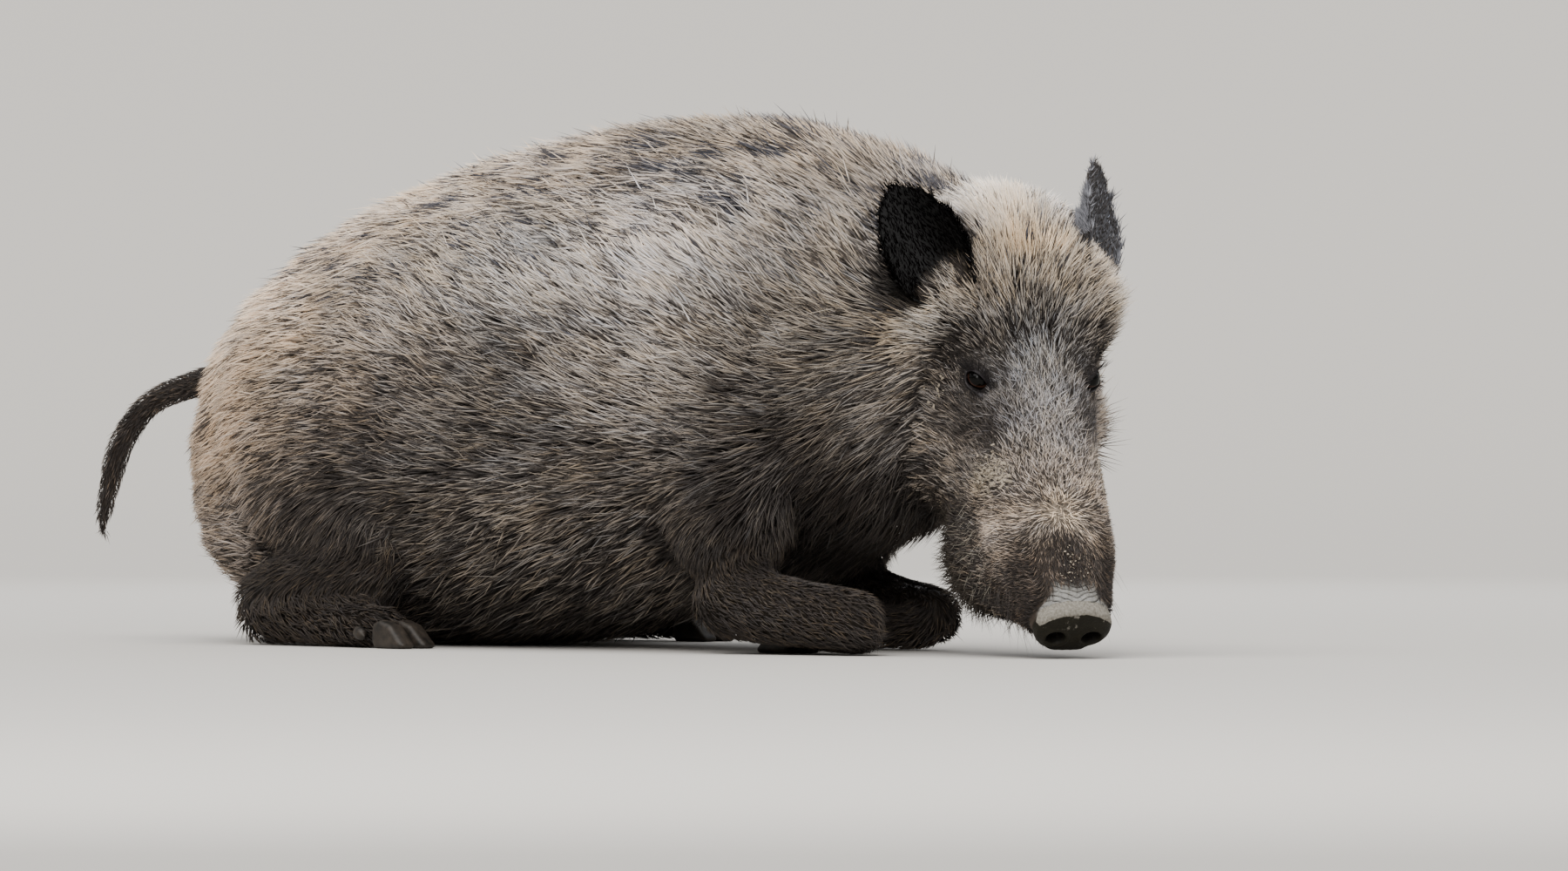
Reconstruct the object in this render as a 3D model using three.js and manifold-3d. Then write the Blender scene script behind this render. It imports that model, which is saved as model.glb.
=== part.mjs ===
// A life-size wild boar lying on its belly, legs folded, with its head turned to its right and its
// snout held just over the ground. Millimetres, +Z up, +X from the rump to the head, +Y to the
// animal's left. The solids reach to the tips of the coat.
import * as THREE from 'three';
import { mergeVertices } from 'three/addons/utils/BufferGeometryUtils.js';
import Module from 'manifold-3d';

const wasm = await Module();
wasm.setup();

// ---- Driving dimensions --------------------------------------------------------------------

const GAP = 0.6; // clearance left between pieces that touch
const SLIVER = 0.4; // detail finer than this is dropped where shapes are cut
const RIGHT = -1;
const LEFT = 1;

const TRUNK = { around: 24, stations: 24, square: 2.25, narrowing: 0.16 };
const NECK_CUT = { x: 150, lean: 24 }; // where the neck is parted from the trunk, leaning in degrees
const HEAD = { place: [359, 14, 359], pitch: 57, yaw: -24.5, around: 24, stations: 24, square: 2.2 };
const JAW = { back: 128, hinge: -66, tip: 374, tipDrop: -34, slit: 1.2 };
const EYE = { along: 120, out: 60, up: 48, radius: 12.5 };
const DISC = { from: 386, length: 15, width: 44, up: 30, down: 30, tilt: 6 };
const NOSTRIL = { out: 19, up: -3, width: 9, height: 6.5, depth: 13 };
const EAR = { up: 83, length: 142, width: 50, cup: 62, wall: 9, sink: 24, levels: 9, across: 7 };
const EAR_MOUTH = { from: 0.3, room: 26 }; // where the cup comes free of the head, and the room before it
const TAIL = { around: 8, steps: 18 };
const HOOF = { length: 50, width: 22, height: 30, bevel: 3.5, spread: 12.5 };
const DEWCLAW = { length: 22, radius: 8 };

// ---- Small helpers -------------------------------------------------------------------------

const vec = (x, y, z) => new THREE.Vector3(x, y, z);
const rad = THREE.MathUtils.degToRad;
const signedPower = (v, n) => Math.sign(v) * Math.abs(v) ** n;

/** A smooth curve through rows of [place, value, value, ...] that never overshoots them. */
function through(rows) {
  const at = rows.map((row) => row[0]);
  const slopeOf = (i, k) => (rows[i + 1][k] - rows[i][k]) / (at[i + 1] - at[i]);
  const tangent = (i, k) => {
    if (i === 0) return slopeOf(0, k);
    if (i === rows.length - 1) return slopeOf(i - 1, k);
    const [before, after] = [slopeOf(i - 1, k), slopeOf(i, k)];
    return before * after <= 0 ? 0 : (2 * before * after) / (before + after);
  };
  return (place) => {
    const p = THREE.MathUtils.clamp(place, at[0], at[at.length - 1]);
    const i = Math.min(Math.max(at.findIndex((a) => a >= p), 1), rows.length - 1) - 1;
    const h = at[i + 1] - at[i];
    const t = (p - at[i]) / h;
    return rows[i].slice(1).map((from, j) => {
      const k = j + 1;
      const to = rows[i + 1][k];
      return from * (1 + 2 * t) * (1 - t) ** 2 + h * tangent(i, k) * t * (1 - t) ** 2
        + to * t * t * (3 - 2 * t) + h * tangent(i + 1, k) * t * t * (t - 1);
    });
  };
}

/** A closed body over rings of points, each end drawn together at a tip. */
function bodyOver(rings, startTip, endTip) {
  const n = rings[0].length;
  const points = [...rings.flat(), startTip, endTip];
  const [start, end] = [points.length - 2, points.length - 1];
  const faces = [];
  for (let j = 0; j < n; j++) {
    const k = (j + 1) % n;
    faces.push(start, k, j, end, (rings.length - 1) * n + j, (rings.length - 1) * n + k);
    for (let i = 0; i + 1 < rings.length; i++) {
      const [a, b] = [i * n, (i + 1) * n];
      faces.push(a + j, a + k, b + k, a + j, b + k, b + j);
    }
  }
  const g = new THREE.BufferGeometry().setFromPoints(points);
  g.setIndex(faces);
  return g;
}

/** Places from a to b, closer together near both ends, where a body rounds off. */
function spaced(a, b, count) {
  return Array.from({ length: count }, (_, i) => {
    const t = (i + 0.5) / count;
    return a + (b - a) * (0.55 * t + 0.45 * (0.5 - Math.cos(Math.PI * t) / 2));
  });
}

/** One cross-section: width to each side, up over and down under its centre, squared off a little
 *  and narrower at its top than at its bottom. */
function section({ centre, across, upward, half, up, down, square, narrowing, around }) {
  return Array.from({ length: around }, (_, j) => {
    const turn = (2 * Math.PI * (j + 0.5)) / around;
    const side = signedPower(Math.cos(turn), 2 / square) * (1 - narrowing * Math.sin(turn));
    const rise = signedPower(Math.sin(turn), 2 / square) * (Math.sin(turn) > 0 ? up : down);
    return centre.clone().addScaledVector(across, half * side).addScaledVector(upward, rise);
  });
}

/** A limb, tail or mass along a smooth line: rows of [x, y, z, half width, half height]. */
function limb(rows, { around = 12, steps = 14 } = {}) {
  const line = new THREE.CatmullRomCurve3(rows.map(([x, y, z]) => vec(x, y, z)), false, 'centripetal');
  const sizes = through(rows.map((row, i) => [i / (rows.length - 1), row[3], row[4]]));
  const rings = [];
  for (let i = 0; i < steps; i++) {
    const t = (i + 0.5) / steps;
    const ahead = line.getTangent(t);
    const across = vec(0, 1, 0).projectOnPlane(ahead).normalize();
    const [half, high] = sizes(t);
    rings.push(section({
      centre: line.getPoint(t), across, upward: ahead.clone().cross(across),
      half, up: high, down: high, square: 2.1, narrowing: 0, around,
    }));
  }
  return bodyOver(rings, line.getPoint(0), line.getPoint(1));
}

/** Lifts or sinks the surface softly around given places: rows of [x, y, z, reach, lift]. */
function swell(geometry, rows) {
  const g = mergeVertices(geometry);
  g.computeVertexNormals();
  const [position, normal] = [g.attributes.position, g.attributes.normal];
  for (let i = 0; i < position.count; i++) {
    const p = vec().fromBufferAttribute(position, i);
    const n = vec().fromBufferAttribute(normal, i);
    const lift = rows.reduce((sum, [x, y, z, reach, height]) => {
      const nearness = Math.max(0, 1 - p.distanceToSquared(vec(x, y, z)) / reach ** 2);
      return sum + height * nearness ** 2;
    }, 0);
    position.setXYZ(i, ...p.addScaledVector(n, lift));
  }
  g.deleteAttribute('normal');
  return g;
}

/** Both sides of a row of places given for the left side only. */
const mirrored = (rows) => rows.flatMap(([x, y, z, ...rest]) => [[x, y, z, ...rest], [x, -y, z, ...rest]]);

/** Nothing reaches below the floor: what would is pressed flat on it. */
function restOnFloor(geometry) {
  const position = geometry.attributes.position;
  for (let i = 0; i < position.count; i++) position.setZ(i, Math.max(position.getZ(i), 0));
  return geometry;
}

// ---- Solids: joining and cutting -----------------------------------------------------------

function solidOf(geometry, matrix = new THREE.Matrix4(), grow = 0) {
  const bare = new THREE.BufferGeometry().setAttribute('position', geometry.attributes.position.clone());
  if (geometry.index) bare.setIndex(geometry.index.clone());
  const merged = mergeVertices(bare.applyMatrix4(matrix), 1e-3);
  if (grow) grown(merged, grow);
  return new wasm.Manifold(new wasm.Mesh({
    numProp: 3,
    vertProperties: new Float32Array(merged.attributes.position.array),
    triVerts: new Uint32Array(merged.index.array),
  }));
}

/** Moves each vertex until it stands at least the given height over all the faces it belongs to. */
function grown(geometry, height) {
  const { attributes: { position }, index } = geometry;
  const corners = Array.from({ length: position.count }, (_, i) => vec().fromBufferAttribute(position, i));
  const around = corners.map(() => []);
  for (let i = 0; i < index.count; i += 3) {
    const face = [0, 1, 2].map((k) => index.getX(i + k));
    const [a, b, c] = face.map((k) => corners[k]);
    const normal = b.clone().sub(a).cross(c.clone().sub(a));
    if (normal.length() > 0.01) face.forEach((k) => around[k].push(normal.clone().normalize()));
  }
  corners.forEach((corner, i) => {
    const move = vec();
    for (let pass = 0; pass < 12; pass++) {
      for (const normal of around[i]) {
        move.addScaledVector(normal, Math.max(0, height - normal.dot(move)));
      }
    }
    position.setXYZ(i, ...corner.clone().add(move.clampLength(0, 4 * height)));
  });
}

/** A solid's geometry, without the crumbs that a cut may leave beside its main body. */
function geometryOf(solid) {
  const bodies = solid.decompose();
  const main = bodies.reduce((a, b) => (b.volume() > a.volume() ? b : a));
  const mesh = main.simplify(SLIVER).getMesh();
  const g = new THREE.BufferGeometry();
  g.setAttribute('position', new THREE.BufferAttribute(new Float32Array(mesh.vertProperties), 3));
  g.setIndex(new THREE.BufferAttribute(new Uint32Array(mesh.triVerts), 1));
  return g;
}

/** Joins geometries that share a frame into one. */
function joined(geometries) {
  return geometryOf(geometries.map((g) => solidOf(g)).reduce((a, b) => a.add(b)));
}

/** Cuts one mesh clear of the shapes that others were made from, wherever each hangs in the graph. */
function clear(mesh, ...others) {
  root.updateMatrixWorld(true);
  let solid = solidOf(mesh.geometry, mesh.matrixWorld);
  for (const { matrixWorld, userData } of others) {
    for (const shape of userData.shapes) solid = solid.subtract(solidOf(shape, matrixWorld, GAP));
  }
  mesh.geometry = geometryOf(solid).applyMatrix4(mesh.matrixWorld.clone().invert());
}

/** The part of a geometry on one side of a plane through a point. */
function beyond(geometry, point, direction, gap = 0) {
  const size = 3000;
  const box = new THREE.BoxGeometry(size, size, size).translate(size / 2 + gap, 0, 0);
  const turn = new THREE.Quaternion().setFromUnitVectors(vec(1, 0, 0), direction.clone().normalize());
  box.applyQuaternion(turn).translate(point.x, point.y, point.z);
  return geometryOf(solidOf(geometry).intersect(solidOf(box)));
}

// ---- Materials -----------------------------------------------------------------------------

const material = (name, color, roughness) => new THREE.MeshStandardMaterial({ name, color, roughness, metalness: 0 });
const coat = material('bristle_coat', '#7d7163', 0.85);
const darkCoat = material('dark_coat', '#26221f', 0.85);
const nose = material('snout_leather', '#6d6a62', 0.6);
const eyeball = material('eye', '#2a1710', 0.08);
const horn = material('hoof_horn', '#2b2723', 0.5);

/** Adds a mesh; shapes are the whole bodies it was joined or cut from. */
function piece(parent, name, geometry, finish, shapes = [geometry]) {
  const mesh = new THREE.Mesh(geometry, finish);
  mesh.name = name;
  mesh.userData.shapes = shapes;
  parent.add(mesh);
  return mesh;
}

// ---- Trunk and neck ------------------------------------------------------------------------

/** Rows of [x, y, top, bottom, half width, lean in degrees]: the back line, the belly line and
 *  the plan of the lying body, from the rump to inside the head. */
const bodyRows = [
  [-752, 0, 290, 190, 8, 0],
  [-742, 0, 326, 120, 78, 0],
  [-715, 0, 358, 70, 128, 0],
  [-660, 0, 402, 30, 170, 0],
  [-580, 0, 449, 0, 200, 0],
  [-470, 0, 493, -14, 218, 0],
  [-330, 0, 529, -12, 232, 0],
  [-200, 0, 549, 6, 234, 0],
  [-60, 0, 565, 34, 222, 0],
  [60, 0, 562, 58, 203, 3],
  [170, -2, 534, 78, 182, 10],
  [260, -6, 502, 92, 152, 20],
  [330, -14, 462, 92, 110, 26],
  [376, -20, 424, 112, 78, 28],
  [396, -22, 396, 176, 40, 28],
];

function torso() {
  const rowAt = through(bodyRows);
  const [first, last] = [bodyRows[0][0], bodyRows[bodyRows.length - 1][0]];
  const sizesAt = (x) => {
    const [y, top, bottom, half, lean] = rowAt(x);
    return { y, half, lean: rad(lean), centre: vec(x, y, (top + bottom) / 2), reach: (top - bottom) / 2 };
  };
  const rings = spaced(first, last, TRUNK.stations).map((x) => {
    const { centre, half, lean, reach } = sizesAt(x);
    return section({
      centre, half, up: reach, down: reach,
      across: vec(0, 1, 0), upward: vec(Math.sin(lean), 0, Math.cos(lean)),
      square: TRUNK.square, narrowing: TRUNK.narrowing, around: TRUNK.around,
    });
  });
  return restOnFloor(bodyOver(rings, sizesAt(first).centre, sizesAt(last).centre));
}

// ---- Head ----------------------------------------------------------------------------------

/** Rows of [along, half width, up, down] in the head's own frame: x to the snout, z to the brow. */
const headRows = [
  [-122, 10, 12, 10],
  [-108, 60, 72, 50],
  [-80, 92, 102, 74],
  [-44, 112, 118, 108],
  [-4, 121, 120, 134],
  [40, 114, 108, 148],
  [85, 95, 90, 152],
  [125, 82, 78, 154],
  [178, 75, 63, 152],
  [240, 69, 52, 144],
  [302, 62, 44, 110],
  [346, 53, 38, 70],
  [376, 47, 33, 36],
  [387, 44, 30, 30],
];

/** Named forms of the head as [along, out, up, reach, lift], both sides alike. */
const headForms = mirrored([
  [96, 62, 74, 44, 13], // brow over the eye
  [54, 104, 72, 56, 24], // fan of bristles before the ear
  [121, 66, 60, 30, -11], // hollow that holds the eye
  [96, 92, -20, 50, 4], // cheek bone
  [100, 100, -100, 96, 66], // side whiskers of the jowl
  [190, 82, 10, 60, -4], // hollow in front of the cheek
  [305, 60, -8, 52, 5], // root of the upper tusk lifts the lip
  [262, 46, -96, 84, 20], // hair that hangs from the jaw
  [250, 20, 52, 60, -3], // bridge of the nose
]);

function headShape() {
  const rowAt = through(headRows);
  const [first, last] = [headRows[0][0], headRows[headRows.length - 1][0]];
  const rings = spaced(first, last, HEAD.stations).map((x) => {
    const [half, up, down] = rowAt(x);
    return section({
      centre: vec(x, 0, 0), across: vec(0, 1, 0), upward: vec(0, 0, 1), half, up, down,
      square: HEAD.square, narrowing: 0.07, around: HEAD.around,
    });
  });
  return swell(bodyOver(rings, vec(first, 0, 0), vec(last, 0, 0)), headForms);
}

/** The wedge under the closed mouth, from the corner of the jaw to just behind the snout disc. */
function jawRegion(grow) {
  const outline = new THREE.Shape([
    new THREE.Vector2(JAW.back - grow, -300),
    new THREE.Vector2(JAW.back - grow, JAW.hinge - 40),
    new THREE.Vector2(JAW.back + 60 - grow, JAW.hinge + 14 + grow),
    new THREE.Vector2(JAW.tip - 26, JAW.tipDrop + grow),
    new THREE.Vector2(JAW.tip + grow, JAW.tipDrop - 8 + grow),
    new THREE.Vector2(JAW.tip + grow, -300),
  ]);
  const depth = 400;
  return new THREE.ExtrudeGeometry(outline, { depth, bevelEnabled: false })
    .translate(0, 0, -depth / 2).rotateX(Math.PI / 2);
}

/** The flat snout disc, with its two nostrils as blind openings in its face. */
function snoutDisc() {
  const rings = [0, 0.15, 0.55, 0.86, 1].map((t, i) => section({
    centre: vec(DISC.length * t, 0, 0), across: vec(0, 1, 0), upward: vec(0, 0, 1),
    half: DISC.width * [0.93, 1, 1.02, 0.98, 0.84][i],
    up: DISC.up * [0.93, 1, 1.03, 1, 0.86][i], down: DISC.down * [0.93, 1, 1.03, 1, 0.86][i],
    square: 2.3, narrowing: -0.06, around: 20,
  }));
  let solid = solidOf(bodyOver(rings, vec(0, 0, 0), vec(DISC.length + 1, 0, 0)));
  for (const side of [RIGHT, LEFT]) {
    const hole = new THREE.CylinderGeometry(1, 0.8, 2 * NOSTRIL.depth, 12).rotateZ(-Math.PI / 2)
      .scale(1, NOSTRIL.width, NOSTRIL.height).translate(DISC.length + 1, side * NOSTRIL.out, NOSTRIL.up);
    solid = solid.subtract(solidOf(hole));
  }
  return geometryOf(solid);
}

/** Shares of an ear's length, width and cup: a narrow root, a broad middle and a blunt tip. */
const earPlan = through([
  [0, 0.7, 1.25], [0.2, 0.92, 1.1], [0.42, 1, 0.9], [0.65, 0.9, 0.66], [0.84, 0.66, 0.5],
  [0.95, 0.38, 0.4], [1, 0.16, 0.4],
]);

/** The arc across an ear at a share of its length: inside its wall, or outside it. */
function earArc(t, inside) {
  const [width, cup] = earPlan(t);
  const half = rad(EAR.cup * cup);
  const bend = (EAR.width * width) / Math.sin(half);
  const wall = EAR.wall * (1 - 0.45 * t);
  return Array.from({ length: EAR.across }, (_, j) => {
    const turn = -half + (2 * half * j) / (EAR.across - 1);
    const thinning = j === 0 || j === EAR.across - 1 ? 0.5 * wall : 0;
    const r = inside ? bend - wall + thinning : bend - thinning;
    return vec(bend - r * Math.cos(turn) - bend * (1 - Math.cos(half)) / 2, r * Math.sin(turn), EAR.length * t);
  });
}

/** A cupped ear standing on its root at the origin: +Z to its tip, open to +X, +Y across. */
function earShape() {
  const { levels, across } = EAR;
  const rings = Array.from({ length: levels }, (_, i) => {
    const t = i / (levels - 1);
    return [...earArc(t, false), ...earArc(t, true).reverse()];
  });
  // Each end is stitched from the outer wall straight to the inner one, so the cup stays open.
  const n = 2 * across;
  const faces = [];
  for (let i = 0; i + 1 < levels; i++) {
    for (let j = 0; j < n; j++) {
      const [a, b, k] = [i * n, (i + 1) * n, (j + 1) % n];
      faces.push(a + j, b + k, a + k, a + j, b + j, b + k);
    }
  }
  for (let j = 0; j + 1 < across; j++) {
    const end = (levels - 1) * n;
    const back = n - 1 - j;
    faces.push(j, j + 1, back, j + 1, back - 1, back);
    faces.push(end + j, end + back, end + j + 1, end + j + 1, end + back, end + back - 1);
  }
  const g = new THREE.BufferGeometry().setFromPoints(rings.flat());
  g.setIndex(faces);
  return g;
}

/** The open room inside an ear's cup and before it, which the head leaves free. */
function earRoom() {
  const rings = Array.from({ length: EAR.levels }, (_, i) => {
    const back = earArc(EAR_MOUTH.from + (1 - EAR_MOUTH.from) * i / (EAR.levels - 1), true).reverse();
    const front = [back[back.length - 1], back[0]].map((p) => p.clone().add(vec(EAR_MOUTH.room, 0, 0)));
    return [...back, ...front];
  });
  const middle = (ring) => ring.reduce((sum, p) => sum.add(p), vec()).divideScalar(ring.length);
  return bodyOver(rings, middle(rings[0]), middle(rings[rings.length - 1]));
}

// ---- Legs and tail -------------------------------------------------------------------------

/** Folded foreleg, left side: shoulder to elbow, forearm along the floor, foot tucked back. */
const foreleg = {
  lengths: [
    [
      [58, 144, 420, 20, 20], [76, 152, 370, 36, 74], [112, 158, 290, 48, 100],
      [140, 156, 200, 50, 90], [140, 158, 120, 46, 70], [122, 156, 70, 30, 40],
    ],
    [
      [108, 162, 66, 16, 16], [128, 162, 62, 38, 44], [180, 158, 52, 37, 42],
      [240, 148, 42, 33, 36], [290, 138, 38, 31, 34], [322, 132, 36, 26, 30], [336, 129, 36, 10, 12],
    ],
    [
      [318, 128, 30, 8, 8], [306, 122, 27, 24, 26], [270, 112, 25, 22, 25], [225, 104, 25, 21, 24],
      [198, 100, 24, 22, 22], [180, 98, 24, 14, 16],
    ],
  ],
  toes: { place: [190, 98, 0], heading: 188 },
};

/** Folded hind leg, left side: thigh to stifle, shank back to the hock, foot forward on the floor. */
const hindleg = {
  lengths: [
    [
      [-636, 112, 312, 24, 24], [-592, 136, 298, 58, 90], [-520, 156, 258, 74, 132],
      [-440, 172, 200, 72, 128], [-372, 184, 142, 60, 100], [-322, 190, 106, 42, 64], [-296, 190, 92, 14, 20],
    ],
    [
      [-316, 196, 108, 20, 22], [-356, 202, 92, 42, 58], [-416, 206, 72, 41, 60],
      [-482, 207, 54, 34, 45], [-530, 206, 43, 27, 39], [-552, 205, 38, 12, 16],
    ],
    [
      [-548, 206, 34, 8, 8], [-532, 208, 30, 25, 30], [-476, 214, 27, 23, 27], [-390, 224, 26, 23, 26],
      [-330, 230, 26, 25, 26], [-298, 232, 24, 24, 23], [-280, 233, 22, 14, 16],
    ],
  ],
  toes: { place: [-292, 233, 0], heading: 3 },
};

/** Each leg's own place along the body: the far foreleg lies a little further back. */
const legShift = {
  foreleg_right: [0, 0], foreleg_left: [-120, -34], hindleg_right: [0, 0], hindleg_left: [-24, 0],
};

/** The lengths of one leg, still apart: the mass against the body, then the two below it. */
function legShapes(leg, side, [back, inward]) {
  const place = (rows) => rows.map(([x, y, z, ...size]) => [x + back, side * (y + inward), z, ...size]);
  return leg.lengths.map((rows, i) => {
    const detail = i === 0 ? { around: 12, steps: 9 } : { around: 10, steps: 7 };
    return restOnFloor(limb(place(rows), detail));
  });
}

/** One main hoof: a low wedge standing on z = 0, its toe to +X. */
function hoofShape() {
  const { length, width, height, bevel } = HOOF;
  const side = new THREE.Shape();
  side.moveTo(0, 0).lineTo(length * 0.92, 0).lineTo(length, height * 0.12)
    .lineTo(length * 0.55, height * 0.82).lineTo(length * 0.2, height).lineTo(-length * 0.04, height * 0.9)
    .lineTo(-length * 0.08, height * 0.3);
  return new THREE.ExtrudeGeometry(side, {
    depth: width - 2 * bevel, bevelThickness: bevel, bevelSize: bevel, bevelOffset: -bevel, bevelSegments: 1,
  }).rotateX(Math.PI / 2).translate(0, width / 2 - bevel, 0);
}

/** One dewclaw: a short blunt cone with its point to +X. */
function dewclawShape() {
  const { length, radius } = DEWCLAW;
  const outline = [[0, 0], [1, 0], [0.85, 0.6], [0, 1]];
  return new THREE.LatheGeometry(outline.map(([r, t]) => new THREE.Vector2(r * radius, t * length)), 7)
    .rotateZ(-Math.PI / 2);
}

/** The tail swings out behind the rump and hangs: rows of [x, y, z, half width, half height]. */
const tailRows = [
  [-700, 0, 292, 14, 14], [-748, -5, 289, 21, 21], [-800, -14, 284, 19, 19], [-848, -26, 274, 16, 16],
  [-884, -38, 258, 15, 15], [-905, -48, 234, 15, 15], [-918, -57, 204, 15, 15], [-926, -61, 172, 13, 13],
  [-932, -65, 140, 11, 11], [-934, -65, 114, 4, 4],
];

// ---- Putting the boar together -------------------------------------------------------------

const root = new THREE.Group();
const animal = new THREE.Group();
root.add(animal);

const whole = torso();
const cutPoint = vec(NECK_CUT.x, 0, 300);
const cutWay = vec(Math.cos(rad(NECK_CUT.lean)), 0, -Math.sin(rad(NECK_CUT.lean)));
const trunk = piece(animal, 'trunk', beyond(whole, cutPoint, cutWay.clone().negate(), GAP / 2), coat, [whole]);
const neck = piece(animal, 'neck', beyond(whole, cutPoint, cutWay, GAP / 2), coat, [whole]);

const headFrame = new THREE.Group();
headFrame.position.set(...HEAD.place);
headFrame.rotation.set(0, rad(HEAD.pitch), rad(HEAD.yaw), 'ZYX');
animal.add(headFrame);

/** Where each ear's root lies along the head, the way its tip points and the way it opens: the
 *  right one hangs lower and is turned further to the front. */
const earPose = {
  left: { along: -3, out: 83, tip: [-0.97, 0.2, 0.09], open: [0.18, 0.74, 0.63] },
  right: { along: 22, out: 89, tip: [-0.94, -0.31, 0.07], open: [0.18, -0.57, 0.8] },
};

// Each ear's root sits on the side of the brow, and the room in and before its cup stays free.
const ears = [];
let skullSolid = solidOf(headShape());
for (const [side, word] of [[LEFT, 'left'], [RIGHT, 'right']]) {
  const ear = piece(headFrame, 'ear_' + word, earShape(), darkCoat);
  ear.position.set(earPose[word].along, side * earPose[word].out, EAR.up);
  const tip = vec(...earPose[word].tip).normalize();
  const open = vec(...earPose[word].open).projectOnPlane(tip).normalize();
  ear.quaternion.setFromRotationMatrix(new THREE.Matrix4().makeBasis(open, tip.clone().cross(open), tip));
  ear.translateZ(-EAR.sink);
  ear.updateMatrix();
  skullSolid = skullSolid.subtract(solidOf(earRoom(), ear.matrix));
  ears.push(ear);
}

const skull = geometryOf(skullSolid);
const [closed, wedge, slit] = [skull, jawRegion(0), jawRegion(JAW.slit)].map((g) => solidOf(g));
const jaw = piece(headFrame, 'lower_jaw', geometryOf(closed.intersect(wedge)), coat, [skull]);
const head = piece(headFrame, 'head', geometryOf(closed.subtract(slit)), coat, [skull]);

const disc = piece(headFrame, 'snout_disc', snoutDisc(), nose);
disc.position.set(DISC.from, 0, 0);
disc.rotation.y = -rad(DISC.tilt);
clear(head, disc);

for (const [side, word] of [[LEFT, 'left'], [RIGHT, 'right']]) {
  const eye = piece(headFrame, 'eye_' + word, new THREE.SphereGeometry(EYE.radius, 12, 8), eyeball);
  eye.position.set(EYE.along, side * EYE.out, EYE.up);
  clear(head, eye);
}

const legs = {};
for (const [side, word] of [[LEFT, 'left'], [RIGHT, 'right']]) {
  for (const [kind, shape] of [['foreleg', foreleg], ['hindleg', hindleg]]) {
    const name = kind + '_' + word;
    const shift = legShift[name];
    const shapes = legShapes(shape, side, shift);
    const leg = piece(animal, name, joined(shapes), darkCoat, shapes);
    legs[name] = leg;
    const [x, y] = shape.toes.place;
    const foot = new THREE.Group();
    foot.position.set(x + shift[0], side * (y + shift[1]), 0);
    foot.rotation.z = side * rad(shape.toes.heading);
    animal.add(foot);
    for (const [half, place] of [[LEFT, 'inner'], [RIGHT, 'outer']]) {
      const hoof = piece(foot, `${name}_hoof_${place}`, hoofShape(), horn);
      hoof.position.y = half * side * HOOF.spread;
      hoof.rotation.z = half * side * rad(3);
      const claw = piece(foot, `${name}_dewclaw_${place}`, dewclawShape(), horn);
      claw.position.set(-30, half * side * 17, 17);
      claw.rotation.set(0, rad(12), half * side * rad(24), 'ZYX');
      clear(leg, hoof, claw);
    }
  }
}

const tail = piece(animal, 'tail', limb(tailRows, TAIL), darkCoat);

// Each soft part is cut clear of the one it grows out of.
clear(trunk, ...Object.values(legs), tail);
clear(neck, ...Object.values(legs), head);
clear(legs.foreleg_right, head);
clear(legs.foreleg_left, head);
for (const ear of ears) clear(ear, head, neck);

// The part's own frame has its origin under the middle of the boar, on the floor.
root.updateMatrixWorld(true);
const bounds = new THREE.Box3().setFromObject(root, true);
const middle = bounds.getCenter(vec());
animal.position.set(-middle.x, -middle.y, -bounds.min.z);

export default root;
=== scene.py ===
"""A wild boar lying on its belly, life size: one skin, a coat of solid tufts, eyes and hooves.

The skin is made from the boar's solids, drawn in by the depth of the coat, and the tufts grow from
it back out to the true outline. Both take their colours from the same marks on the body.
"""
import math

import bmesh
import bpy
import numpy as np
from mathutils import Matrix, Vector
from mathutils.bvhtree import BVHTree
from mathutils.kdtree import KDTree


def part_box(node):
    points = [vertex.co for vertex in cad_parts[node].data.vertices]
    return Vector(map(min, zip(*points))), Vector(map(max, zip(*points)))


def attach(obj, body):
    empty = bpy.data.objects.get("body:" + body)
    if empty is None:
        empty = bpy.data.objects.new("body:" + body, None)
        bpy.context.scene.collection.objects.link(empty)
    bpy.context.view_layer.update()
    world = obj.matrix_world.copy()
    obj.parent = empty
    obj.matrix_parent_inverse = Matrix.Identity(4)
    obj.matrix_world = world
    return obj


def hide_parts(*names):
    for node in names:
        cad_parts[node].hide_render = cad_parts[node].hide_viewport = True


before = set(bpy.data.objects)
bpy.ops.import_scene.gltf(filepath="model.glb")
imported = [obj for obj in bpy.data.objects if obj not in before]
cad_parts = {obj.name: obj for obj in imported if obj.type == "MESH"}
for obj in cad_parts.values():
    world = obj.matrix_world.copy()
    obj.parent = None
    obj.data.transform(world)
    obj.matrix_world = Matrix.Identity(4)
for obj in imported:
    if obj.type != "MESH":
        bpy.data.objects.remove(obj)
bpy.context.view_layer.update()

MM = 0.001

# ---- Driving sizes (millimetres and degrees, unless a name says otherwise) -------------------

FLESH = [
    "trunk", "neck", "head", "lower_jaw", "snout_disc", "ear_left", "ear_right", "tail",
    "foreleg_left", "foreleg_right", "hindleg_left", "hindleg_right",
]
FACE = ["head", "lower_jaw", "snout_disc"]
HOOVES = sorted(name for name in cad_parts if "hoof" in name or "dewclaw" in name)

VOXEL = 4.0          # the skin's first, even mesh
HOOF_GRAIN = 1.4     # and that of a hoof
BODY_TRIANGLES = 90000
HEAD_PLACE = np.array([536.3, 14.0, 359.0]) * MM
HEAD_PITCH = 57.0
HEAD_YAW = -24.5
DISC_AT = 386.0      # the snout disc, along the head from the nape
DISC_LEAN = 4.0      # how far the top edge of the disc lies behind its lower edge
NOSTRIL = {"out": 19.5, "up": -3.0, "wide": 10.5, "high": 8.6, "deep": 16.0}
MOUTH = [(188, -52), (374, -31)]               # the closed mouth's line, along and up
MOUTH_CORNER = 236.0
MOUTH_GROOVE = 5.0
CRACK_DEPTH = 2.2    # the creases across the bare top of the snout
CRACK_SPACING = 6.4

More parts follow.
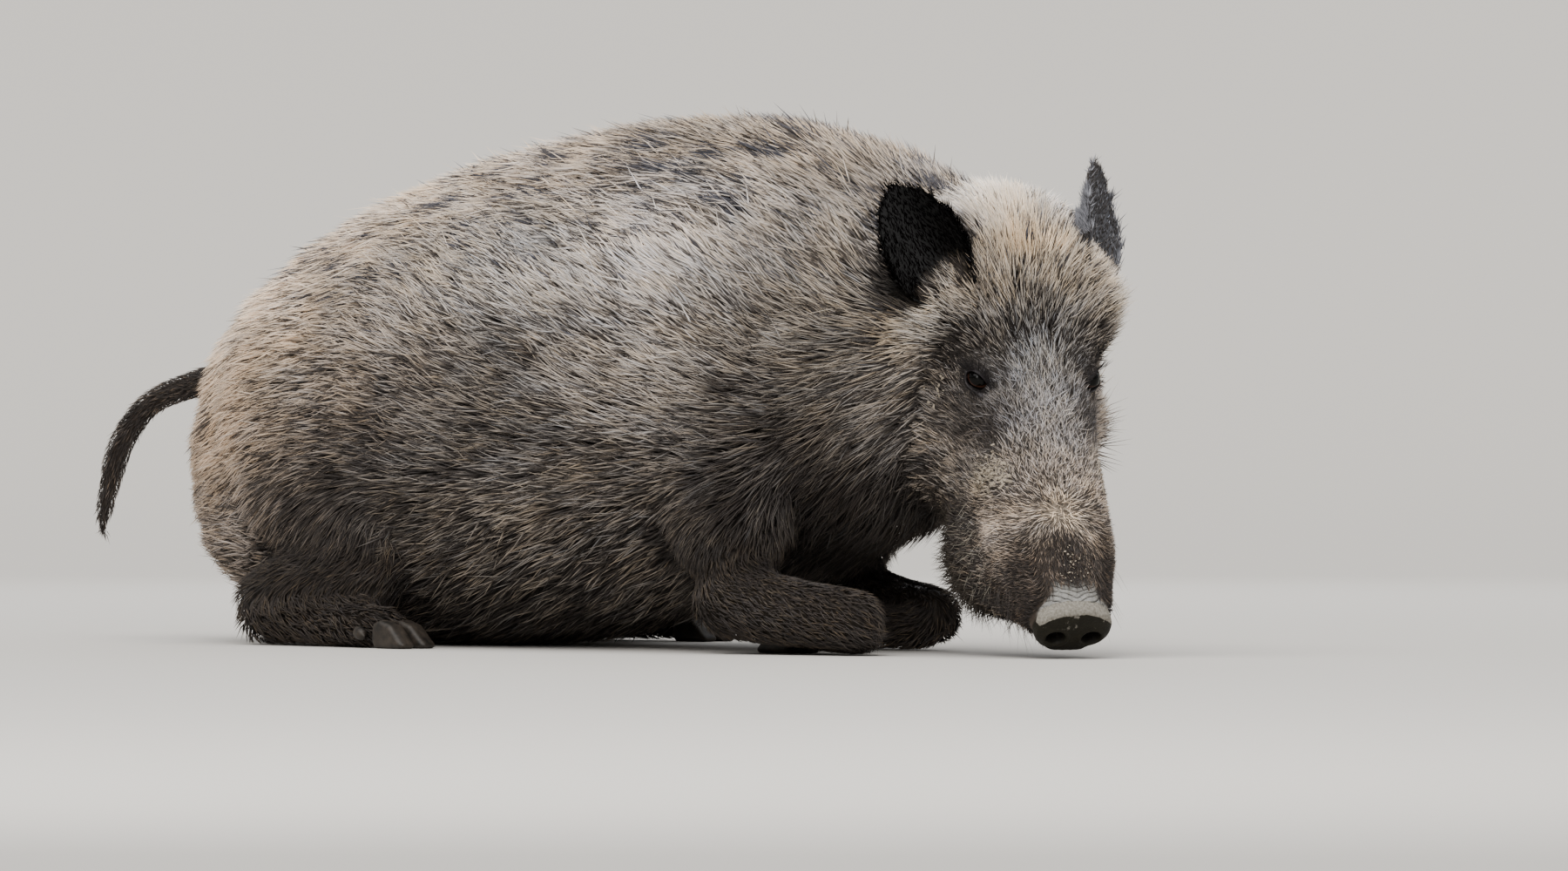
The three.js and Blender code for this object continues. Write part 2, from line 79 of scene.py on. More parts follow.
EYE_OPENING = {"half": 11.6, "up": 7.2, "down": 8.0, "lid": 1.6, "tear": 5.5}
EYE_BARE = 26        # how far from an eye's middle its lids may be bare
EYE_FACES = np.array([0.50, 0.64, 0.58])       # the left eye's own axis, in the head
EYE_SLIT = np.array([0.85, -0.50, 0.15])       # from its outer corner to its inner corner, left eye

SEED = 7

# What each part of the body carries: coat depth, tuft length and width, spacing of the tufts, and
# how many rounds of smoothing take the facets off its skin.
COAT = {
    "trunk": (19, 46, 1.9, 3.1, 90),
    "neck": (24, 50, 1.5, 2.5, 70),
    "head": (7, 22, 0.8, 1.75, 16),
    "lower_jaw": (8, 26, 1.5, 2.9, 14),
    "snout_disc": (1, 4, 0.8, 6.0, 8),
    "ear_left": (1.6, 15, 1.1, 2.7, 5),
    "ear_right": (1.6, 15, 1.1, 2.7, 5),
    "tail": (5, 18, 1.3, 2.7, 6),
    "foreleg_left": (5, 20, 1.5, 3.1, 14),
    "foreleg_right": (5, 20, 1.5, 3.1, 14),
    "hindleg_left": (8, 26, 1.6, 3.3, 20),
    "hindleg_right": (8, 26, 1.6, 3.3, 20),
}

UPPER_LEG_COAT = (24, 46, 1.9, 3.1, 120)    # the same five, where the legs run into the trunk

# How much more depth, length, width and spacing the coat has in each zone of the head.
ZONE_COAT = {
    "crown": (15, 22, 0.4, 0.4),
    "cheek": (12, 13, 0.35, 0.35),
    "jowl": (16, 22, 0.4, 0.3),
    "throat": (8, 22, 0.2, 0.2),
    "snout": (-3.2, -8, -0.05, -0.1),
}
EYE_COAT = (1.8, 8.0, 0.6, 1.7)     # and those four just round the eyes
CUP_COAT = (2.0, 9.0, 0.9, 3.0)     # and in the hollows of the ears
UNEVEN = 9.0                        # how far the trunk's coat lies in low waves

# Core lines of the long parts, root to tip, in the boar's frame; the left side's for the legs.
CORES = {
    "foreleg": [(253, 152, 390), (317, 157, 160), (292, 160, 64), (499, 131, 34), (362, 98, 24)],
    "hindleg": [(-423, 130, 300), (-263, 172, 200), (-123, 192, 98), (-363, 206, 40), (-113, 233, 24)],
    "tail": [(-523, 0, 292), (-623, -14, 284), (-707, -38, 258), (-741, -57, 204), (-757, -65, 114)],
    "trunk": [(-560, 0, 250), (-200, 0, 270), (200, 0, 280), (560, 0, 300)],
}
LEG_SHIFT = {
    "foreleg_right": (0, 0), "foreleg_left": (-120, -34), "hindleg_right": (0, 0), "hindleg_left": (-24, 0),
}
EARS = {  # base, direction of the tip and way it opens, in the head's own frame
    "ear_left": ((-3, 83, 83), (-0.97, 0.20, 0.09), (0.18, 0.74, 0.63)),
    "ear_right": ((22, -89, 83), (-0.94, -0.31, 0.07), (0.18, -0.57, 0.80)),
}
EAR_LENGTH = 142.0
EAR_SINK = 24.0
EAR_WIDTH = 50.0

# The lie of the coat on the body: at (X, Z), the rise in degrees of hair that runs towards the tail.
LIE = [
    (420, 500, -8), (200, 520, -8), (-50, 520, -10), (-300, 460, -24),
    (470, 400, 40), (330, 400, 34), (180, 350, 27), (20, 350, 26), (-120, 330, 24),
    (300, 260, 22), (160, 250, 11), (20, 240, 14), (-100, 240, 12),
    (-430, 360, -48), (-280, 300, -26), (-240, 200, -12), (-400, 220, -35), (-350, 100, 10),
    (250, 130, -12), (100, 110, -16), (-80, 110, -18),
    (540, 290, -12), (500, 200, -38), (440, 120, -48),
]

# Colours of the hair tips on the body, at (X, Z), and on the head, at its own (along, out, up). The body's
# marks grow darker on the lower flank, the belly and the ruff below the head: partly the coat's own colour
# and partly painted shade, as falls under the body and below the head.
BODY_SHADES = [
    (420, 540, "#bfae9b"), (200, 545, "#afa08f"), (0, 530, "#c9b9a9"), (-120, 500, "#dccbb8"),
    (-250, 480, "#dbc7b2"), (-480, 420, "#dac6b1"), (-545, 300, "#cfbaa4"),
    (420, 420, "#b0a69c"), (250, 430, "#d2c9c2"), (50, 400, "#bcb5ae"), (-120, 370, "#b8ada1"),
    (-300, 330, "#dac6b1"), (-190, 310, "#b4a699"), (410, 290, "#938a80"), (300, 265, "#bcb1a6"),
    (200, 280, "#aea69f"), (98, 250, "#7a736c"), (0, 270, "#8f877f"), (-100, 262, "#7c7269"),
    (-200, 260, "#9c8e81"), (-400, 240, "#d2baa2"), (520, 250, "#c8bcb0"), (470, 320, "#8f867b"),
    (400, 235, "#5e5750"), (462, 235, "#25221f"), (405, 205, "#2c2925"), (465, 205, "#252220"),
    (390, 150, "#2a2723"), (300, 190, "#8f867e"), (200, 170, "#6d6660"), (20, 165, "#827a72"),
    (98, 140, "#a0968c"), (-60, 160, "#857d74"), (-150, 155, "#4c4641"), (-230, 150, "#5f5750"),
    (-344, 160, "#a4968a"), (-420, 110, "#aa9b8e"), (400, 80, "#2a2623"), (200, 100, "#7a7269"),
    (0, 80, "#6e675f"), (-300, 50, "#5d544c"),
]
FACE_SHADES = [
    (-30, 0, 90, "#f3e8da"), (50, 30, 90, "#c3b5a4"), (110, 0, 75, "#a7a6a5"), (190, 0, 60, "#a8a3a0"),
    (276, 0, 45, "#c4b3a2"), (325, 0, 42, "#6b5d51"), (365, 0, 30, "#6b5d51"), (270, 45, 0, "#ac9f93"),
    (330, 45, -5, "#8a7d72"), (150, 75, 10, "#7b746e"), (60, 110, -20, "#dacdc0"), (150, 70, -50, "#b3a79b"),
    (250, 40, -60, "#5f584f"), (60, 40, -110, "#6b6259"), (120, 62, 50, "#757170"), (90, 84, 20, "#a5998d"),
]
# Smaller patches of colour on the face, each at (along, out, up), with its reach.
FACE_PATCHES = [
    (5, 12, 96, 40, "#d6bf9f"),         # warm buff between the ears
    (-34, 50, 94, 24, "#9c9ba1"),       # slate beside each ear
    (44, 88, 50, 36, "#ddd3c5"),        # white tips at the sides of the forehead
    (42, 102, 19, 22, "#c8ad88"),       # the tan tuft below each ear
    (120, 62, 50, 22, "#373435"),       # dark hair round the eyes
    (168, 58, 22, 32, "#69625d"),       # and below them
    (184, 46, 38, 16, "#4d4a4d"),
    (224, 55, 14, 22, "#bdaf98"),        # mud on the side of the face
    (282, 0, 42, 26, "#e6d4be"),        # the whorl on the nose
    (280, 56, 6, 26, "#c3b5a8"),
    (300, 0, 38, 17, "#5b4e45"),        # the dark patch below it
    (326, 0, 36, 22, "#51463d"),
    (346, 0, 34, 20, "#4b423b"),
    (332, 38, 22, 22, "#6d5f54"),
    (364, 40, 6, 30, "#4a4039"),        # the dark sides above the disc
    (340, 50, -30, 30, "#3e3731"),
    (152, 74, -70, 20, "#47464a"),
    (230, 62, -84, 52, "#58524a"),
]
EAR_SHADOW_BELOW = {"middle": (10, -100, 56), "reach": 38}    # painted shadow: hair painted black below the right ear's cup, where the ear shades the head
DARK_HAIR = "#2b2725"    # the lower half of each bristle
SLATE = "#4c4b50"        # the streaks on the back, where dark bristles lie together
LEG_HAIR = "#463e35"
# Painted light and shade: the left ear's hair is painted pale where light catches it, the right ear's near
# black for the shade of its cup.
LIT_AND_SHADED_EAR_HAIR = {"ear_left": "#74757b", "ear_right": "#070606"}
# Painted shade: near-black hair for the hollow of the right ear and the patch below it.
SHADED_CUP_HAIR = "#040303"
TAIL_HAIR = "#5b5047"
# Paler hair on the upper side of the tail's root: partly the rump's pale coat, partly a painted highlight
# from the light above.
TAIL_ROOT = "#c4bbb5"
LID = "#1e1b1c"
LOWER_LID = "#5d5b5e"    # the crease below each eye, where the bare lid catches the light
CRACKED_LEATHER = "#848380"
DISC_LEATHER = "#1c1a13"
# Painted shade: near black deep inside the nostrils.
SHADED_NOSTRIL = "#080706"

# ---- Small helpers ---------------------------------------------------------------------------


def linear(hex_colour):
    """The linear red, green and blue of an sRGB hex colour."""
    channels = [int(hex_colour[i:i + 2], 16) / 255 for i in (1, 3, 5)]
    return np.array([c / 12.92 if c <= 0.04045 else ((c + 0.055) / 1.055) ** 2.4 for c in channels])


def ease(low, high, x):
    """0 below low, 1 above high, and smooth in between."""
    t = np.clip((x - low) / (high - low), 0, 1)
    return t * t * (3 - 2 * t)


def unit(vectors):
    """The vectors at length 1."""
    return vectors / np.maximum(np.linalg.norm(vectors, axis=-1, keepdims=True), 1e-12)


def tint(colours, hex_colour, share):
    """Turns the colours, in place, to that colour by each one's share."""
    colours += share[:, None] * (linear(hex_colour) - colours)


def noise(points, cell, seed):
    """Smooth noise from 0 to 1 on cells of that size; cell is one size or three."""
    p = points / (np.asarray(cell) * MM) + 100.5
    base = np.floor(p).astype(np.int64)
    f = p - base
    f = f * f * (3 - 2 * f)
    total = np.zeros(len(points))
    for corner in range(8):
        step = np.array([corner & 1, corner >> 1 & 1, corner >> 2 & 1])
        k = base + step
        h = (k[:, 0] * 73856093 ^ k[:, 1] * 19349663 ^ k[:, 2] * 83492791 ^ seed * 2654435761) & 0xFFFFFFFF
        h = (h ^ h >> 15) * 2246822519 & 0xFFFFFFFF
        h = (h ^ h >> 13) * 3266489917 & 0xFFFFFFFF
        value = (h ^ h >> 16) / 4294967296.0
        weight = np.prod(np.where(step == 1, f, 1 - f), axis=1)
        total += weight * value
    return total


def head_axes():
    """The head's own axes in the boar's frame: to the snout, to its left, up through the brow."""
    pitch, yaw = math.radians(HEAD_PITCH), math.radians(HEAD_YAW)
    x = (math.cos(pitch) * math.cos(yaw), math.cos(pitch) * math.sin(yaw), -math.sin(pitch))
    y = (-math.sin(yaw), math.cos(yaw), 0.0)
    z = (math.sin(pitch) * math.cos(yaw), math.sin(pitch) * math.sin(yaw), math.cos(pitch))
    return np.array([x, y, z])


HEAD = head_axes()


def in_head(points):
    """Points in the head's own frame, in millimetres."""
    return (points - HEAD_PLACE) @ HEAD.T / MM


def in_snout(points):
    """Points in the head's frame, with the lean of the snout disc taken out."""
    h = in_head(points)
    h[:, 0] += DISC_LEAN * ease(-14, 30, h[:, 2]) * ease(DISC_AT - 30, DISC_AT - 16, h[:, 0])
    return h


def from_head(points):
    """Points in the head's frame, in millimetres, back in the boar's frame."""
    return np.asarray(points) * MM @ HEAD + HEAD_PLACE


def off_nostril(h, side):
    """1 on the edge of a nostril, less inside it and more outside, for points in the head's frame."""
    across = (h[:, 1] - side * NOSTRIL["out"]) / NOSTRIL["wide"]
    return np.hypot(across, (h[:, 2] - NOSTRIL["up"]) / NOSTRIL["high"])


def in_ear(points, ear):
    """Points in an ear's own frame, in millimetres: the way it opens, across it, up to its tip."""
    base, tip, opening = (np.array(v, float) for v in EARS[ear])
    tip = unit(tip)
    opening = unit(opening - (opening @ tip) * tip)
    return (in_head(points) - base + tip * EAR_SINK) @ np.array([opening, np.cross(tip, opening), tip]).T


def in_cup(points, ear):
    """1 on what lines the hollow of an ear, 0 away from it."""
    q = in_ear(points, ear)
    across = 1 - ease(0.80, 1.05, np.abs(q[:, 1]) / EAR_WIDTH)
    deep = ease(-26, -20, q[:, 0]) * (1 - ease(9, 17, q[:, 0]))
    return across * deep * ease(22, 38, q[:, 2])


def core_of(part):
    """The core line of a part, in metres."""
    if part in EARS:
        base, way = (np.array(v, float) for v in EARS[part][:2])
        return from_head([base - unit(way) * EAR_SINK, base + unit(way) * (EAR_LENGTH - EAR_SINK)])
    if part in LEG_SHIFT:
        kind, side = part.split("_")
        back, inward = LEG_SHIFT[part]
        turn = 1 if side == "left" else -1
        return np.array([(x + back, turn * (y + inward), z) for x, y, z in CORES[kind]]) * MM
    if part in FACE:
        return from_head([(-60, 0, 0), (120, 0, -10), (250, 0, -15), (400, 0, -8)])
    return np.array(CORES["tail" if part == "tail" else "trunk"], float) * MM


def along_core(points, core):
    """For each point: the way its core line runs, the distance along it, and the angle round it."""
    best = np.full(len(points), 1e9)
    way = np.zeros((len(points), 3))
    run = np.zeros(len(points))
    foot = np.zeros((len(points), 3))
    start = 0.0
    for a, b in zip(core[:-1], core[1:]):
        span = b - a
        t = np.clip((points - a) @ span / (span @ span), 0, 1)
        near = a + t[:, None] * span
        gap = np.linalg.norm(points - near, axis=1)
        closer = gap < best
        best[closer] = gap[closer]
        way[closer] = unit(span)
        run[closer] = (start + t * np.linalg.norm(span))[closer]
        foot[closer] = near[closer]
        start += np.linalg.norm(span)
    side = unit(np.cross(way, (0.0, 0.05, 1.0)))
    top = np.cross(side, way)
    out = points - foot
    return way, run, np.arctan2(np.sum(out * side, axis=1), np.sum(out * top, axis=1))


# ---- Meshes as arrays ------------------------------------------------------------------------


def arrays_of(mesh):
    """A mesh's points and its triangles, as arrays."""
    points = np.empty(len(mesh.vertices) * 3)
    mesh.vertices.foreach_get("co", points)
    mesh.calc_loop_triangles()
    triangles = np.empty(len(mesh.loop_triangles) * 3, np.int32)
    mesh.loop_triangles.foreach_get("vertices", triangles)
    return points.reshape(-1, 3), triangles.reshape(-1, 3)


def mesh_of(name, points, triangles, smooth=True):
    """A new mesh from points and triangles."""
    mesh = bpy.data.meshes.new(name)
    mesh.vertices.add(len(points))
    mesh.vertices.foreach_set("co", np.ascontiguousarray(points, np.float32).ravel())
    mesh.loops.add(len(triangles) * 3)
    mesh.loops.foreach_set("vertex_index", np.ascontiguousarray(triangles, np.int32).ravel())
    mesh.polygons.add(len(triangles))
    mesh.polygons.foreach_set("loop_start", np.arange(0, len(triangles) * 3, 3, dtype=np.int32))
    mesh.polygons.foreach_set("use_smooth", np.full(len(triangles), smooth))
    mesh.update(calc_edges=True)
    return mesh


def shown(name, mesh):
    """An object for the mesh, in the scene."""
    piece = bpy.data.objects.new(name, mesh)
    bpy.context.scene.collection.objects.link(piece)
    return piece


def add_piece(name, mesh, material, replaced=()):
    """Puts a finished mesh on the boar's one body, in place of the solids that it replaces."""
    mesh.materials.append(material)
    piece = shown(name, mesh)
    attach(piece, "root")
    if replaced:
        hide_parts(*replaced)


def give(mesh, name, kind, field, values):
    """Stores one value for each point of the mesh under that name."""
    attribute = mesh.attributes.new(name, kind, "POINT")
    attribute.data.foreach_set(field, np.ascontiguousarray(values, np.float32).ravel())


def after(mesh, kind, chosen=(), **settings):
    """A mesh's points and triangles after one modifier; chosen points go in a group of that name."""
    block = shown("block", mesh)
    block.vertex_groups.new(name="chosen").add(list(chosen), 1.0, "REPLACE")
    change = block.modifiers.new("change", kind)
    for key, value in settings.items():
        setattr(change, key, value)
    seen = bpy.context.evaluated_depsgraph_get()
    result = bpy.data.meshes.new_from_object(block.evaluated_get(seen))
    arrays = arrays_of(result)
    bpy.data.objects.remove(block)
    bpy.data.meshes.remove(result)
    return arrays


def normals_of(points, triangles):
    """The point normals of a triangle mesh."""
    a, b, c = (points[triangles[:, i]] for i in range(3))
    face = np.cross(b - a, c - a)
    total = np.zeros_like(points)
    for i in range(3):
        for axis in range(3):
            total[:, axis] += np.bincount(triangles[:, i], face[:, axis], len(points))
    return unit(total)


class Net:
    """The edges of a mesh, for smoothing values over it."""

    def __init__(self, count, triangles):
        edges = np.concatenate([triangles[:, [0, 1]], triangles[:, [1, 2]], triangles[:, [2, 0]]])
        edges = np.unique(np.sort(edges, axis=1), axis=0)
        self.a = np.concatenate([edges[:, 0], edges[:, 1]])
        self.b = np.concatenate([edges[:, 1], edges[:, 0]])
        self.count = count
        self.around = np.maximum(np.bincount(self.a, minlength=count), 1)

    def mean(self, values):
        """At each point, the mean of its neighbours' values."""
        if values.ndim == 1:
            return np.bincount(self.a, values[self.b], self.count) / self.around
        return np.stack([self.mean(values[:, i]) for i in range(values.shape[1])], axis=1)

    def smooth(self, values, rounds, strength=0.5):
        """The values after that many rounds of smoothing; rounds may differ from point to point."""
        rounds = np.broadcast_to(rounds, (self.count,))
        for i in range(int(np.max(rounds))):
            pull = strength * np.clip(rounds - i, 0, 1)
            pull = pull if values.ndim == 1 else pull[:, None]
            values = values + pull * (self.mean(values) - values)
        return values

    def largest(self):
        """True for the points of the largest connected piece."""
        label = np.arange(self.count)
        while True:
            low = label.copy()
            np.minimum.at(low, self.a, label[self.b])
            low = low[low]
            if np.array_equal(low, label):
                break
            label = low
        return label == np.bincount(label).argmax()


# ---- The skin's first form: the solids joined, rounded and drawn in ---------------------------


def grown_copy(node, by):
    """A merged copy of a CAD node's mesh, grown outwards, as a bmesh."""
    copy = bmesh.new()
    copy.from_mesh(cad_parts[node].data)
    bmesh.ops.remove_doubles(copy, verts=copy.verts, dist=0.00002)
    bmesh.ops.recalc_face_normals(copy, faces=copy.faces)
    copy.normal_update()
    for v in copy.verts:
        v.co += v.normal * by
    return copy


def evened(mesh, grain):
    """Points and triangles of one even, closed mesh round all that is in mesh."""
    return after(mesh, "REMESH", mode="VOXEL", voxel_size=grain * MM)


def solid_flesh():
    """The flesh in one even mesh: the solids grown by a hair so that they join, and filled holes."""
    whole = bpy.data.meshes.new("flesh")
    joined = bmesh.new()
    for node in FLESH + ["eye_left", "eye_right"]:
        copy = grown_copy(node, 0.9 * MM)
        copy.to_mesh(whole)
        copy.free()
        joined.from_mesh(whole)
    for side in (-1, 1):
        place = from_head([(DISC_AT + 1, side * NOSTRIL["out"], NOSTRIL["up"])])[0]
        bmesh.ops.create_uvsphere(
            joined, u_segments=16, v_segments=10, radius=13 * MM, matrix=Matrix.Translation(Vector(place)))
    joined.to_mesh(whole)
    joined.free()
    points, triangles = evened(whole, VOXEL)
    keep = Net(len(points), triangles).largest()
    number = np.cumsum(keep) - 1
    return points[keep], number[triangles[keep[triangles[:, 0]]]]


def nearest_parts(points):
    """For each point, the number in FLESH of the solid that it lies nearest."""
    best = np.full(len(points), 1e9)
    part = np.zeros(len(points), int)
    for number, node in enumerate(FLESH):
        low, high = (np.array(corner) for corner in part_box(node))
        inside = np.all((points > low - 0.03) & (points < high + 0.03), axis=1)
        copy = grown_copy(node, 0.0)
        tree = BVHTree.FromBMesh(copy)
        copy.free()
        for i in np.flatnonzero(inside):
            gap = tree.find_nearest(points[i])[3]
            if gap < best[i]:
                best[i] = gap
                part[i] = number
    return part


def nearness(x, y, z, reach):
    """1 at the middle of a round zone, falling softly to 0 at about its reach."""
    return np.exp(-2 * (x ** 2 + y ** 2 + z ** 2) / reach ** 2)


def coat_values(points, normals, parts):
    """Coat depth, tuft length, width and spacing at each point, and its rounds of smoothing."""
    values = np.array([COAT[node] for node in FLESH], float)[parts]
    depth, length, width, spacing, rounds = values.T.copy()
    x, _, z = points.T / MM
    name = np.array(FLESH)[parts]

    body = (name == "trunk") | (name == "neck")
    back = ease(0.35, 0.9, normals[:, 2]) * body
    depth += 9 * back
    length += 4 * back
    under = ease(0.3, 0.8, -normals[:, 2]) * body
    spacing += 3.0 * under
    length += 8 * under
    leg = np.array([node in LEG_SHIFT for node in name])
    upper = ease(100, 190, z) * leg
    for value, aim in zip((depth, length, width, spacing, rounds), UPPER_LEG_COAT):
        value += (aim - value) * upper
    rump = ease(-380, -520, x) * (name == "trunk")
    depth -= 6 * rump
    length -= 10 * rump

    hx, hy, hz = in_head(points).T
    head = (name == "head") | (name == "lower_jaw")
    top = ease(-20, 40, hz)
    zones = {
        "crown": (1 - ease(70, 140, hx)) * top * (name == "head"),
        "cheek": (1 - ease(90, 250, hx)) * (1 - top) * head,
        "jowl": nearness(hx - 100, np.abs(hy) - 112, hz + 100, 80) * head,
        "throat": nearness(hx - 250, 0.6 * hy, hz + 90, 75) * head,
        "snout": ease(150, 300, hx) * head,
    }
    for zone, amount in zones.items():
        for value, change in zip((depth, length, width, spacing), ZONE_COAT[zone]):
            value += change * amount
    off_eye = [np.linalg.norm([hx - 120, hy - side * 60, hz - 48], axis=0) for side in (-1, 1)]
    close = [((1 - ease(15, 46, off)) * head, EYE_COAT) for off in off_eye]
    close += [(in_cup(points, ear), CUP_COAT) for ear in EARS]
    for amount, aims in close:
        for value, aim in zip((depth, length, width, spacing), aims):
            value += (aim - value) * amount
    for ear in EARS:
        base, way = (np.array(v, float) for v in EARS[ear][:2])
        low = np.linalg.norm(in_head(points) - (base + unit(way) * 30), axis=1)
        at_root = (1 - ease(42, 85, low)) * np.isin(name, ["head", "neck"])
        depth -= 0.5 * depth * at_root
        length -= 0.45 * length * at_root
    return np.stack([depth, length, width, spacing], axis=1), rounds


def drawn_in(points, triangles):
    """The rounded skin inside the coat, and the part each point belongs to."""
    parts = nearest_parts(points)
    net = Net(len(points), triangles)
    values, rounds = coat_values(points, normals_of(points, triangles), parts)
    rounds = net.smooth(rounds, 14)
    body = np.isin(np.array(FLESH)[parts], ["trunk", "neck"])
    waves = UNEVEN * (noise(points, (90, 40, 28), 71) - 0.5) * body
    depth = net.smooth(values[:, 0] + waves, 24)
    points = net.smooth(points, rounds)
    steps = 6
    for _ in range(steps):
        points = points - normals_of(points, triangles) * depth[:, None] * MM / steps
        points = net.smooth(points, np.clip(rounds / 14, 0, 2))
    return points, parts


def thinned(points, triangles, coarse, count):
    """The mesh with about that many triangles: only the points where coarse is true give way."""
    return after(
        mesh_of("thinned", points, triangles), "DECIMATE", np.flatnonzero(coarse).tolist(),
        ratio=count / len(triangles), vertex_group="chosen")


def refined(points, triangles, wanted):
    """The mesh with edges cut in two wherever they are longer than wanted(points), in millimetres."""
    mesh = mesh_of("refined", points, triangles)
    fine = bmesh.new()
    fine.from_mesh(mesh)
    for _ in range(2):
        fine.verts.ensure_lookup_table()
        limit = wanted(np.array([v.co for v in fine.verts])) * MM
        long_edges = [
            e for e in fine.edges
            if e.calc_length() > 1.35 * min(limit[e.verts[0].index], limit[e.verts[1].index])]
        bmesh.ops.subdivide_edges(fine, edges=long_edges, cuts=1, use_grid_fill=True)
        bmesh.ops.triangulate(fine, faces=fine.faces)
        fine.verts.index_update()
    fine.to_mesh(mesh)
    fine.free()
    arrays = arrays_of(mesh)
    bpy.data.meshes.remove(mesh)
    return arrays


# ---- The face: eyes, lids, nostrils, mouth and wrinkles ----------------------------------------


class Eye:
    """One eye's place and axes: across the slit, up over the lid, and out."""

    def __init__(self, name, side):
        low, high = (np.array(corner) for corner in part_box(name))
        self.centre = (low + high) / 2
        self.radius = float(np.mean(high - low)) / 2 / MM
        self.out = unit(EYE_FACES * (1, side, 1)) @ HEAD
        slit = EYE_SLIT * (1, side, 1) @ HEAD
        self.across = unit(slit - (slit @ self.out) * self.out)
        self.up = np.cross(self.out, self.across)
        if self.up @ HEAD[2] < 0:
            self.up = -self.up

    def seen(self, points):
        """Points in the eye's own axes, in millimetres."""
        return (points - self.centre) @ np.array([self.across, self.up, self.out]).T / MM

    def opening(self, q):
        """1 on the edge of the lids, less inside the opening and more outside it."""
        inner = np.maximum(q[:, 0], 0) / EYE_OPENING["half"]
        height = q[:, 1] + 1.6 * inner ** 2
        half = np.where(q[:, 0] > 0, EYE_OPENING["half"] + EYE_OPENING["tear"], EYE_OPENING["half"])
        high = np.where(height > 0, EYE_OPENING["up"], EYE_OPENING["down"])
        return ((np.abs(q[:, 0]) / half) ** 1.9 + (np.abs(height) / high) ** 1.9) ** (1 / 1.9)


EYES = [Eye("eye_left", 1), Eye("eye_right", -1)]


def fineness(points):
    """The length that the skin's edges should have at each point, in millimetres."""
    h = in_head(points)
    size = np.full(len(points), 30.0)
    front = (h[:, 0] > 318) & (h[:, 0] < 420)
    size[front] = 2.4
    cracked = (h[:, 0] > 346) & (h[:, 0] < 404) & (h[:, 2] > -2) & (np.abs(h[:, 1]) < 40)
    size[cracked] = 0.9
    jaw = (h[:, 0] > MOUTH_CORNER - 14) & (h[:, 0] < 420) & (np.abs(h[:, 2] - mouth_height(h[:, 0])) < 9)
    size[jaw] = 2.0
    for side in (-1, 1):
        hole = np.linalg.norm(h - (DISC_AT + 8, side * NOSTRIL["out"], NOSTRIL["up"]), axis=1)
        size[hole < 20] = 1.3
    for eye in EYES:
        gap = np.linalg.norm(points - eye.centre, axis=1) / MM
        size[(gap < 46) & (size > 2.4)] = 2.4
        size[gap < 26] = 1.1
    return size


def mouth_height(along):
    """The height of the mouth's line in the head, at that distance along it."""
    (back, low), (front, high) = MOUTH
    return low + (np.clip(along, back, front) - back) * (high - low) / (front - back)


def with_mouth(points, normals):
    """The skin with the groove of the closed mouth."""
    h = in_head(points)
    off = h[:, 2] - mouth_height(h[:, 0])
    reach = ease(MOUTH_CORNER - 8, MOUTH_CORNER + 8, h[:, 0]) * (h[:, 0] < 420) * (h[:, 2] < 0)
    groove = MOUTH_GROOVE * np.exp(-(off / 2.0) ** 2) * reach
    lip = 1.6 * np.exp(-((off - 6) / 4.0) ** 2) * reach
    return points + normals * (lip - groove)[:, None] * MM


def with_leaning_disc(points):
    """The skin with the top of the snout disc drawn back."""
    h = in_head(points)
    h[:, 0] -= DISC_LEAN * ease(-14, 30, h[:, 2]) * ease(DISC_AT - 26, DISC_AT - 10, h[:, 0])
    return from_head(h)


def with_nostrils(points):
    """The skin with both nostrils sunk into the disc, and the soft rim round each."""
    straight = in_snout(points)
    front = straight[:, 0] > DISC_AT - 6
    h = in_head(points)
    for side in (-1, 1):
        d = off_nostril(h, side)
        h[:, 0] -= NOSTRIL["deep"] * (1 - ease(0.72, 1.04, d)) * front
        h[:, 0] += 1.6 * np.exp(-((d - 1.25) / 0.22) ** 2) * front
    return from_head(h)


def with_lids(points, eye):
    """The skin with one eye's lids drawn over the ball, and the creases above and below it."""
    q = eye.seen(points)
    d = eye.opening(q)
    near = (np.linalg.norm(q, axis=1) < 40) & (q[:, 2] > 0)
    rim = near & (d > 0.8) & (d < 1.0)
    q[rim, :2] /= d[rim, None]
    inside = near & (d <= 0.8)
    q[inside, :2] *= 0.97 / 0.8
    d = np.where(rim, 1.0, d)
    flat = np.hypot(q[:, 0], q[:, 1])
    over = eye.radius + EYE_OPENING["lid"]
    lid = np.sqrt(np.maximum(over ** 2 - np.minimum(flat, over * 0.96) ** 2, 0))
    sunk = np.sqrt(np.maximum((eye.radius - 3) ** 2 - np.minimum(flat, eye.radius - 4) ** 2, 0))
    pull = (1 - ease(1.0, 2.4, d)) * near
    q[:, 2] += pull * (lid - q[:, 2])
    q[inside, 2] = sunk[inside]
    outside = near & ~inside
    below = ease(1.0, 3.0, -q[:, 1])
    above = ease(0.0, 3.0, q[:, 1])
    q[:, 2] -= outside * below * 1.5 * np.exp(-((d - 2.1) / 0.24) ** 2)
    q[:, 2] += outside * below * 0.9 * np.exp(-((d - 1.55) / 0.3) ** 2)
    q[:, 2] -= outside * above * 1.5 * np.exp(-((d - 1.75) / 0.2) ** 2)
    q[:, 2] += outside * above * 1.2 * np.exp(-((d - 2.3) / 0.35) ** 2)
    return q @ np.array([eye.across, eye.up, eye.out]) * MM + eye.centre


